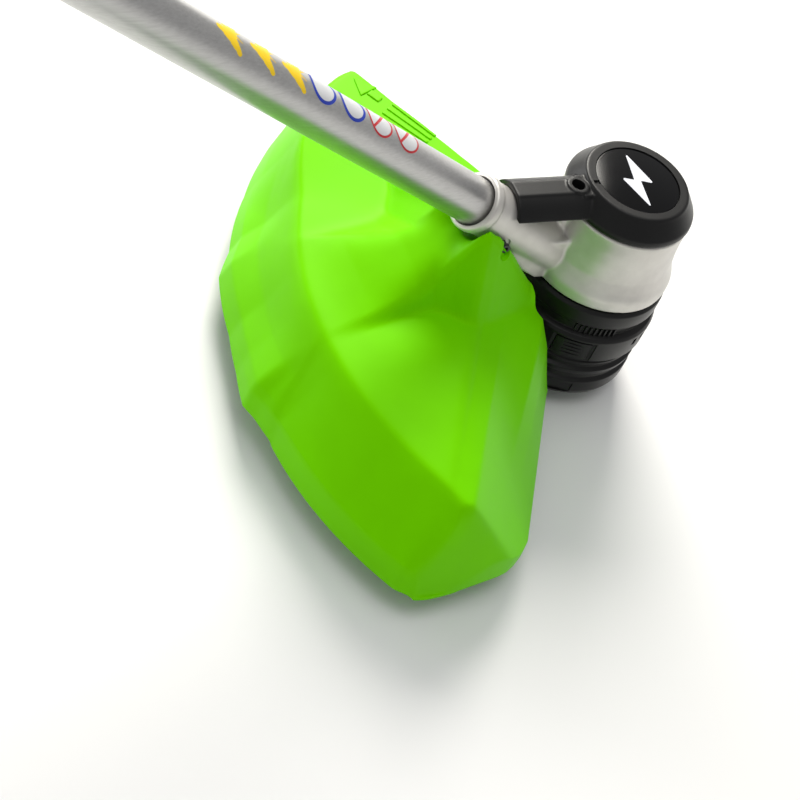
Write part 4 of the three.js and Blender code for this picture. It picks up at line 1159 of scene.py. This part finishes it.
ring_low, ring_high = low("hanger_ring"), high("hanger_ring")
ring_wire = (ring_high.y - ring_low.y) / 2
ring_reach = (ring_high.x - ring_low.x) / 2 - ring_wire
ring_profile = [(ring_reach + ring_wire * math.cos(TAU * k / 20), ring_wire * math.sin(TAU * k / 20))
                for k in range(20)]
hanger_ring = lathe("hanger_ring_skin", ring_profile, 96, Matrix.Translation(centre("hanger_ring"))
                    @ TO_Y, True)
shade_smooth(hanger_ring, 60)
finish_piece(hanger_ring, "strap_ring", "steel", "hanger_ring")


# ---------------------------------------------------------------- rear housing
GRIP_S = round(along_of(GRIP_POINT) - GRIP_BACK)
TRIGGER_S = GRIP_S + 38
BAY_S = GRIP_S + 154
BAY_DIVIDER = BAY_S + 48
BAY_END = BAY_S + 138
BATTERY_END = BAY_END + 74
LATCH_S = BAY_END - 40
BUTTON_S = BAY_S + 24
LIGHT_S = BAY_END + 30
LIGHT_XS = [8 * k - 12 for k in range(4)]
BAY_HALF, BAY_LOW, BAY_TOP = 45.0, -60.0, 42.0

# Rows of a body along the shaft: distance, half width, bottom, top, corner radius.
HOUSING_ROWS = (
    (GRIP_S - 26, 16.8, -16.8, 16.8, 16.7), (GRIP_S - 25, 18, -18, 18, 17.8),
    (GRIP_S - 6, 18, -18.6, 18, 17.8),
    (GRIP_S + 6, 19, -21.6, 20, 16.5), (GRIP_S + 20, 20, -23, 21.6, 14), (GRIP_S + 60, 19.6, -23, 22, 13),
    (GRIP_S + 100, 19.2, -22.4, 22, 13), (GRIP_S + 132, 20, -23, 22, 13), (GRIP_S + 146, 25, -30, 24, 13),
    (GRIP_S + 154, 35, -44, 30, 13), (GRIP_S + 160, 41, -53, 36.5, 12),
    (GRIP_S + 168, 44, -58.5, 40.6, 11),
    (GRIP_S + 178, 45, -60, 42, 9.5), (GRIP_S + 190, 45, -60, 42, 8.5), (BAY_END - 1.5, 45, -60, 42, 8.5),
    (BAY_END, 44, -59, 41, 8),
)


def section(half, bottom, top, corner, inset=0.0, steps=7):
    """A rounded rectangle in the XZ plane."""
    half, bottom, top = half - inset, bottom + inset, top - inset
    corner = max(0.5, min(corner - inset, half - 0.05, (top - bottom) / 2 - 0.05))
    result = []
    for quarter, (cx, cz) in enumerate(((half - corner, bottom + corner), (half - corner, top - corner),
                                        (corner - half, top - corner), (corner - half, bottom + corner))):
        for k in range(steps + 1):
            turn = math.pi / 2 * (quarter - 1 + k / steps)
            result.append((cx + corner * math.cos(turn), cz + corner * math.sin(turn)))
    return result


def row_at(rows, s):
    for before, after in zip(rows, rows[1:]):
        if s <= after[0]:
            share = max(0, (s - before[0]) / (after[0] - before[0]))
            return [a + (b - a) * share for a, b in zip(before, after)]
    return list(rows[-1])


def smooth_row(rows, s, reach=3.0):
    """The row at a distance, averaged with its neighbours so that the body has no kinks."""
    first, last = rows[0][0], rows[-1][0]
    near = min(reach, (s - first) * 0.5, (last - s) * 0.5)
    samples = [row_at(rows, s + near * k / 3) for k in range(-3, 4)]
    return [s] + [sum(sample[i] for sample in samples) / 7 for i in range(1, 5)]


def loft(name, rows, start, end, inset=0.0, step=2.5, shape=None):
    count = max(2, int((end - start) / step))
    stops = sorted({start + (end - start) * k / count for k in range(count + 1)}
                   | {row[0] for row in rows if start < row[0] < end})
    points, faces = [], []
    for s in stops:
        _, half, bottom, top, corner = smooth_row(rows, s)
        if shape:
            half, bottom, top = shape(s, half, bottom, top)
        points += [(x, s, z) for x, z in section(half, bottom, top, corner, inset)]
    n = len(points) // len(stops)
    for i in range(len(stops) - 1):
        for k in range(n):
            m = (k + 1) % n
            faces.append((i * n + k, (i + 1) * n + k, (i + 1) * n + m, i * n + m))
    faces.append(tuple(range(n)))
    faces.append(tuple(reversed(range((len(stops) - 1) * n, len(stops) * n))))
    obj = from_points(name, points, faces, SHAFT_FRAME)
    return faced_outward(obj)


def rod_x(name, radius, start, end, s, z, segments=40):
    return rod(name, radius, start, end, segments, shaft_at(0, s, z) @ TO_X)


def rod_up(name, radius, bottom, top, x, s, segments=40):
    return rod(name, radius, bottom, top, segments, shaft_at(x, s, 0))


def stepped_hole(name, radius, rim_radius, rim_floor, place, sides):
    """A hole through the housing's roof with a shallow rim around it, square where it has four sides."""
    profile = [(0, 30), (radius, 30), (radius, rim_floor), (rim_radius, rim_floor), (rim_radius, 50),
               (0, 50)]
    turned = Matrix.Rotation(math.pi / sides, 4, "Z")
    return lathe(name, profile, sides, shaft_at(*place, 0) @ turned)


def shaft_box(name, a, b):
    return box_at(name, a, b, SHAFT_FRAME)


POSTS = ((GRIP_S + 22, -16, 18.5), (GRIP_S + 141, -8, 18.5), (BAY_S + 11, -49, 43.5))


def make_rear_housing():
    outer = loft("rear_housing", HOUSING_ROWS, GRIP_S - 26, BAY_END)
    tools = [
        loft("grip_room", HOUSING_ROWS, GRIP_S + 3, GRIP_S + 150, 3.0),
        loft("controller_room", HOUSING_ROWS, BAY_S + 7, BAY_DIVIDER - 3, 3.2),
        shaft_box("passage", (-12, BAY_S - 10, -12), (12, BAY_S + 12, 12)),
        shaft_box("bay", (-42, BAY_DIVIDER, BAY_LOW + 4), (42, BAY_END + 1, BAY_TOP - 4)),
        shaft_rod("nose_bore", TUBE_R + GAP, GRIP_S - 40, GRIP_S + 12, 96),
        prism("trigger_slot", filleted(rectangle(TRIGGER_S - 6, -40, TRIGGER_S + 52, -19), [0, 0, 1, 1],
                                       True), 7, SHAFT_FRAME),
        shaft_box("lock_slot", (-6, TRIGGER_S - 18, 18), (6, TRIGGER_S + 48, 30)),
        shaft_box("terminal_slot", (-18.3, BAY_DIVIDER - 6, -22.3), (18.3, BAY_DIVIDER + 2, -1.7)),
        stepped_hole("power_hole", 8.3, 9.6, 41.2, (0, BUTTON_S), 64),
        stepped_hole("speed_hole", 6.3, 7.6, 41.2, (20, BUTTON_S), 64),
        stepped_hole("latch_hole", 10.3 * math.sqrt(2), 12 * math.sqrt(2), 41, (0, LATCH_S), 4),
    ]
    for side in SIDES:
        # Cooling slots over the controller and a finger panel by the battery.
        for k in range(6):
            slot = filleted(rectangle(BAY_S + 20 + 4.6 * k, -34, BAY_S + 22.2 + 4.6 * k, 14), 1.0, True,
                            3)
            tools.append(prism("vent", slot, 3, shaft_at(side * 45, 0, 0)))
        panel = filleted([(BAY_DIVIDER + 12, -40), (BAY_END - 10, -46), (BAY_END - 10, 26),
                          (BAY_DIVIDER + 12, 20)],
                         8, True, 6)
        tools.append(prism("side_panel", panel, 1.2, shaft_at(side * 45.2, 0, 0)))
    for s, z, half in POSTS:
        tools.append(rod_x("screw_well", 3.5, -half - 30, 2.6 - half, s, z))
    carve(outer, *tools)
    ribs = []
    for side in SIDES:
        for k in range(5):
            s = BAY_DIVIDER + 24 + 13 * k
            shape = filleted(rectangle(s, -34, s + 3, 16), 1.4, True, 3)
            ribs.append(prism("rib", shape, 0.75, shaft_at(side * 44.6, 0, 0)))
    for rib in ribs:
        bevelled(rib, 0.4, 2, 40)
        apply_modifiers(rib)
    posts = []
    for s, z, half in POSTS:
        post = rod_x("post", 5, 4 - half, half - 2, s, z)
        posts.append(carve(post, rod_x("post_bore", 1.9, -60, half - 3, s, z)))
    return joined("rear_housing", outer, *ribs, *posts)


def half_of(whole, name, start, end):
    part = whole.copy()
    part.data = whole.data.copy()
    part.name = name
    bpy.context.scene.collection.objects.link(part)
    keep = shaft_box("keep", (min(start, end), GRIP_S - 60, -95), (max(start, end), BAY_END + 20, 90))
    boolean(part, "INTERSECT", keep)
    shade_smooth(part, 38)
    return part


whole_housing = make_rear_housing()
for side_name, sign in (("left", 1), ("right", -1)):
    half_shell = half_of(whole_housing, "rear_housing_skin_" + side_name, sign * 0.15, sign * 90)
    bevelled(half_shell, 0.35, 2, 50)
    finish_piece(half_shell, "frame", "green_plastic", "rear_housing_" + side_name)
remove(whole_housing)


# ---------------------------------------------------------------- grip sleeve, boot and controls
def make_grip_sleeve():
    start, end = TRIGGER_S + 56, GRIP_S + 146

    def ribbed(s, half, bottom, top):
        wave = 0.35 * (0.5 + 0.5 * math.cos((s - start) * TAU / 5.0))
        ends = min(1, (s - start) / 2, (end - s) / 2)
        grow = 2.0 * max(0.2, ends) - wave
        return half + grow, bottom - grow, top + grow

    skin = loft("grip_sleeve_skin", HOUSING_ROWS, start, end, 0, 0.8, ribbed)
    core = loft("core", HOUSING_ROWS, start - 4, end + 3, -0.3, 2.5)
    carve(skin, core)
    return shade_smooth(skin, 50)


finish_piece(make_grip_sleeve(), "frame", "rubber", "grip_sleeve")

boot_profile = [(13.3, GRIP_S - 44), (14.6, GRIP_S - 44)]
for k in range(4):
    s = GRIP_S - 41.5 + k * 3.6
    boot_profile += [(15.0 + 0.5 * k, s), (16.2 + 0.25 * k, s + 0.8), (16.2 + 0.25 * k, s + 2.0),
                     (15.2 + 0.5 * k, s + 2.8)]
boot_profile += [(17.0, GRIP_S - 26.3), (13.3, GRIP_S - 26.3)]
boot = along_shaft("shaft_boot_skin", filleted(boot_profile, 0.4, True, 2), 96, True)
shade_smooth(boot, 50)
finish_piece(boot, "frame", "rubber", "shaft_boot")


def make_trigger():
    T = TRIGGER_S
    shape = filleted(
        [(T - 5, -8), (T + 4, -6), (T + 46, -14), (T + 48, -24), (T + 40, -36), (T + 22, -40),
         (T + 8, -36), (T - 4, -24)],
        [2, 2, 2, 5, 9, 14, 10, 6], True, 5)
    body = prism("trigger", shape, 6.4, SHAFT_FRAME)
    bevelled(body, 1.6, 3, 50)
    apply_modifiers(body)
    tools = [rod_x("pin_hole", 2.3, -10, 10, T, -12)]
    for k in range(6):
        s = T + 12 + 4.4 * k
        tools.append(rod_x("groove", 1.0, -4.2, 4.2, s, -39.4 + 0.035 * (s - T - 22) ** 2 * 0.4, 20))
    carve(body, *tools)
    return shade_smooth(body, 40)


finish_piece(make_trigger(), "trigger", "black_plastic", "throttle_trigger")


def make_lock_off():
    T = TRIGGER_S
    shape = filleted(
        [(T - 16, 17), (T - 14, 27), (T + 12, 30), (T + 36, 27), (T + 46, 20), (T + 46, 12), (T + 38, 9),
         (T + 30, 14)],
        [1, 4, 12, 8, 4, 3, 3, 6], True, 5)
    body = prism("lock_off", shape, 5.6, SHAFT_FRAME)
    bevelled(body, 1.2, 3, 50)
    apply_modifiers(body)
    tools = [rod_x("pin_hole", 2.0, -10, 10, T + 40, 14.5)]
    tools += [rod_x("groove", 0.8, -7, 7, T - 6 + 4 * k, 29.3 + 0.25 * k * (k < 5), 16) for k in range(5)]
    carve(body, *tools)
    return shade_smooth(body, 40)


finish_piece(make_lock_off(), "lock_off", "black_plastic", "lock_off_lever")


def make_button(name, radius, x):
    top = BAY_TOP + 1.6
    place = shaft_at(x, BUTTON_S, 0)
    profile = [(0, BAY_TOP - 9), (radius, BAY_TOP - 9), (radius, top), (radius - 1.4, top),
               (radius * 0.5, top - 0.5), (0, top - 0.6)]
    body = lathe(name, filleted(profile, [0, 0.3, 0.9, 0.6, 2, 0]), 64, place)
    mark = lathe("mark", rectangle(radius * 0.42, top - 1, radius * 0.52, top), 48, place, True)
    carve(body, mark)
    return shade_smooth(body, 40)


finish_piece(make_button("power_button_skin", 8, 0), "power_key", "grey_plastic", "power_button")
finish_piece(make_button("speed_button_skin", 6, 20), "speed_key", "grey_plastic", "speed_button")


def make_battery_latch():
    body = shaft_box("battery_latch_skin", (-10, LATCH_S - 10, BAY_TOP - 7),
                     (10, LATCH_S + 10, BAY_TOP + 3))
    bevelled(body, 1.2, 3, 50)
    apply_modifiers(body)
    tools = [rod_x("groove", 0.9, -7.5, 7.5, LATCH_S - 6 + 3 * k, BAY_TOP + 3.2, 16) for k in range(5)]
    carve(body, *tools)
    return shade_smooth(body, 40)


finish_piece(make_battery_latch(), "battery_release", "black_plastic", "battery_latch")


# ---------------------------------------------------------------- battery
BATTERY_ROWS = (
    (BAY_END + 0.5, 44, -59, 41, 8), (BAY_END + 2, 45, -60, 42, 8.5), (BAY_END + 52, 45, -60, 42, 9),
    (BAY_END + 64, 43.5, -58, 40, 11), (BAY_END + 71, 40.5, -54.5, 36.5, 12),
    (BATTERY_END, 36.5, -51, 32.5, 12),
)


def make_battery():
    half = BAY_HALF - 3.6
    front = BAY_DIVIDER + 1.6
    slug = shaft_box("slug", (-half, front, BAY_LOW + 4.6), (half, BAY_END + 6, BAY_TOP - 4.6))
    bevelled(slug, 1.5, 3, 50)
    apply_modifiers(slug)
    tail = loft("tail", BATTERY_ROWS, BAY_END + 0.5, BATTERY_END)
    body = boolean(slug, "UNION", tail)
    body.name = "battery_skin"
    tools = [
        shaft_box("room", (3.4 - half, front + 18, BAY_LOW + 8),
                  (half - 3.4, BATTERY_END - 10, BAY_TOP - 16)),
        shaft_box("mouth", (-30, BATTERY_END - 12, BAY_LOW + 14), (30, BATTERY_END + 1, BAY_TOP - 20)),
        shaft_box("socket", (-17, front - 1, -20), (17, front + 13, -4)),
        shaft_box("groove", (-11, front - 1, BAY_TOP - 12), (11, LATCH_S + 11, BAY_TOP)),
    ]
    for side in SIDES:
        tools.append(shaft_box("rail", (side * (half - 1.8), front - 1, 8),
                               (side * (half + 2), BAY_END - 4, 13)))
        for k in range(7):
            s = BAY_END + 14 + 5.2 * k
            shape = filleted(rectangle(s, -36, s + 2.6, 18), 1.2, True, 3)
            tools.append(prism("finger_rib", shape, 1.5, shaft_at(side * 45.2, 0, 0)))
    tools += [rod_up("light", 2.0, 41.3, 50, x, LIGHT_S, 24) for x in LIGHT_XS]
    tools.append(shaft_box("light_panel", (-20, BAY_END + 23, 41.6), (20, BAY_END + 37, 50)))
    carve(body, *tools)
    return shade_smooth(body, 38)


finish_piece(make_battery(), "battery", "black_plastic", "battery_case")

light_green = moulded("light_green", (0.1, 0.75, 0.12), 0.05, 0.25, 500, 0.05)
lens_profile = filleted([(0, 40.9), (1.8, 40.9), (1.8, 41.7), (0, 41.9)], [0, 0.1, 0.3, 0])
lenses = [lathe("lens", lens_profile, 24, shaft_at(x, LIGHT_S, 0)) for x in LIGHT_XS]
lights = joined("charge_lights", *lenses)
shade_smooth(lights, 50)
finish_piece(lights, "battery", "black_plastic", look=light_green)


def make_end_cover():
    a, b = (-29.7, BATTERY_END - 9, BAY_LOW + 14.3), (29.7, BATTERY_END + 2, BAY_TOP - 20.3)
    body = shaft_box("end_cover", a, b)
    bevelled(body, 2.0, 4, 50)
    apply_modifiers(body)
    tools = []
    for k in range(6):
        x = -20 + 8 * k
        tools.append(shaft_box("slot", (x - 1.3, BATTERY_END + 0.8, -36), (x + 1.3, BATTERY_END + 4, 12)))
    carve(body, *tools)
    bevelled(body, 0.25, 2, 50)
    return shade_smooth(body, 40)


finish_piece(make_end_cover(), "battery", "green_plastic", "battery_end_cover")


# ---------------------------------------------------------------- camera, light and floor
def look_from(place_mm, right, down, forward, lens):
    data = bpy.data.cameras.new("camera")
    data.lens = lens
    data.sensor_width = 36
    data.clip_start = 0.01
    data.clip_end = 50
    camera = bpy.data.objects.new("camera", data)
    turned = Matrix((right, [-d for d in down], [-f for f in forward])).transposed().to_4x4()
    camera.matrix_world = Matrix.Translation(Vector(place_mm) * MM) @ turned
    bpy.context.scene.collection.objects.link(camera)
    bpy.context.scene.camera = camera


def area_light(name, place, aim, size, power, color=(1, 1, 1)):
    data = bpy.data.lights.new(name, "AREA")
    data.shape = "RECTANGLE"
    data.size, data.size_y = size
    data.energy = power
    data.color = color
    lamp = bpy.data.objects.new(name, data)
    direction = Vector(aim) - Vector(place)
    turned = direction.to_track_quat("-Z", "Y").to_matrix().to_4x4()
    lamp.matrix_world = Matrix.Translation(place) @ turned
    bpy.context.scene.collection.objects.link(lamp)


look_from(
    (-590.226, 598.144, 788.721),
    (-0.34701842, -0.88761431, 0.30285155),
    (-0.78194977, 0.09553876, -0.61597637),
    (0.51781538, -0.45056985, -0.72722352),
    86.06,
)
area_light("key", (2.0, -0.6, 1.7), (0, 0.1, 0.05), (1.2, 1.2), 88, (1, 0.97, 0.9))
area_light("side", (1.9, 1.3, 0.55), (0.05, 0.15, 0.05), (1.5, 0.7), 16)
area_light("above", (-0.2, 0.1, 2.9), (0, 0.1, 0), (2.0, 2.0), 20)

world = bpy.data.worlds.new("studio")
world.use_nodes = True
world.node_tree.nodes["Background"].inputs["Color"].default_value = (1, 1, 1, 1)
world.node_tree.nodes["Background"].inputs["Strength"].default_value = 0.4
bpy.context.scene.world = world
bpy.context.scene.view_settings.view_transform = "Standard"

floor_look = principled("floor", (0.86, 0.86, 0.86), 0.65)
bpy.ops.mesh.primitive_plane_add(size=160, location=(0, 0, -0.0005))
floor = bpy.context.object
floor.name = "floor"
floor.data.materials.append(floor_look)
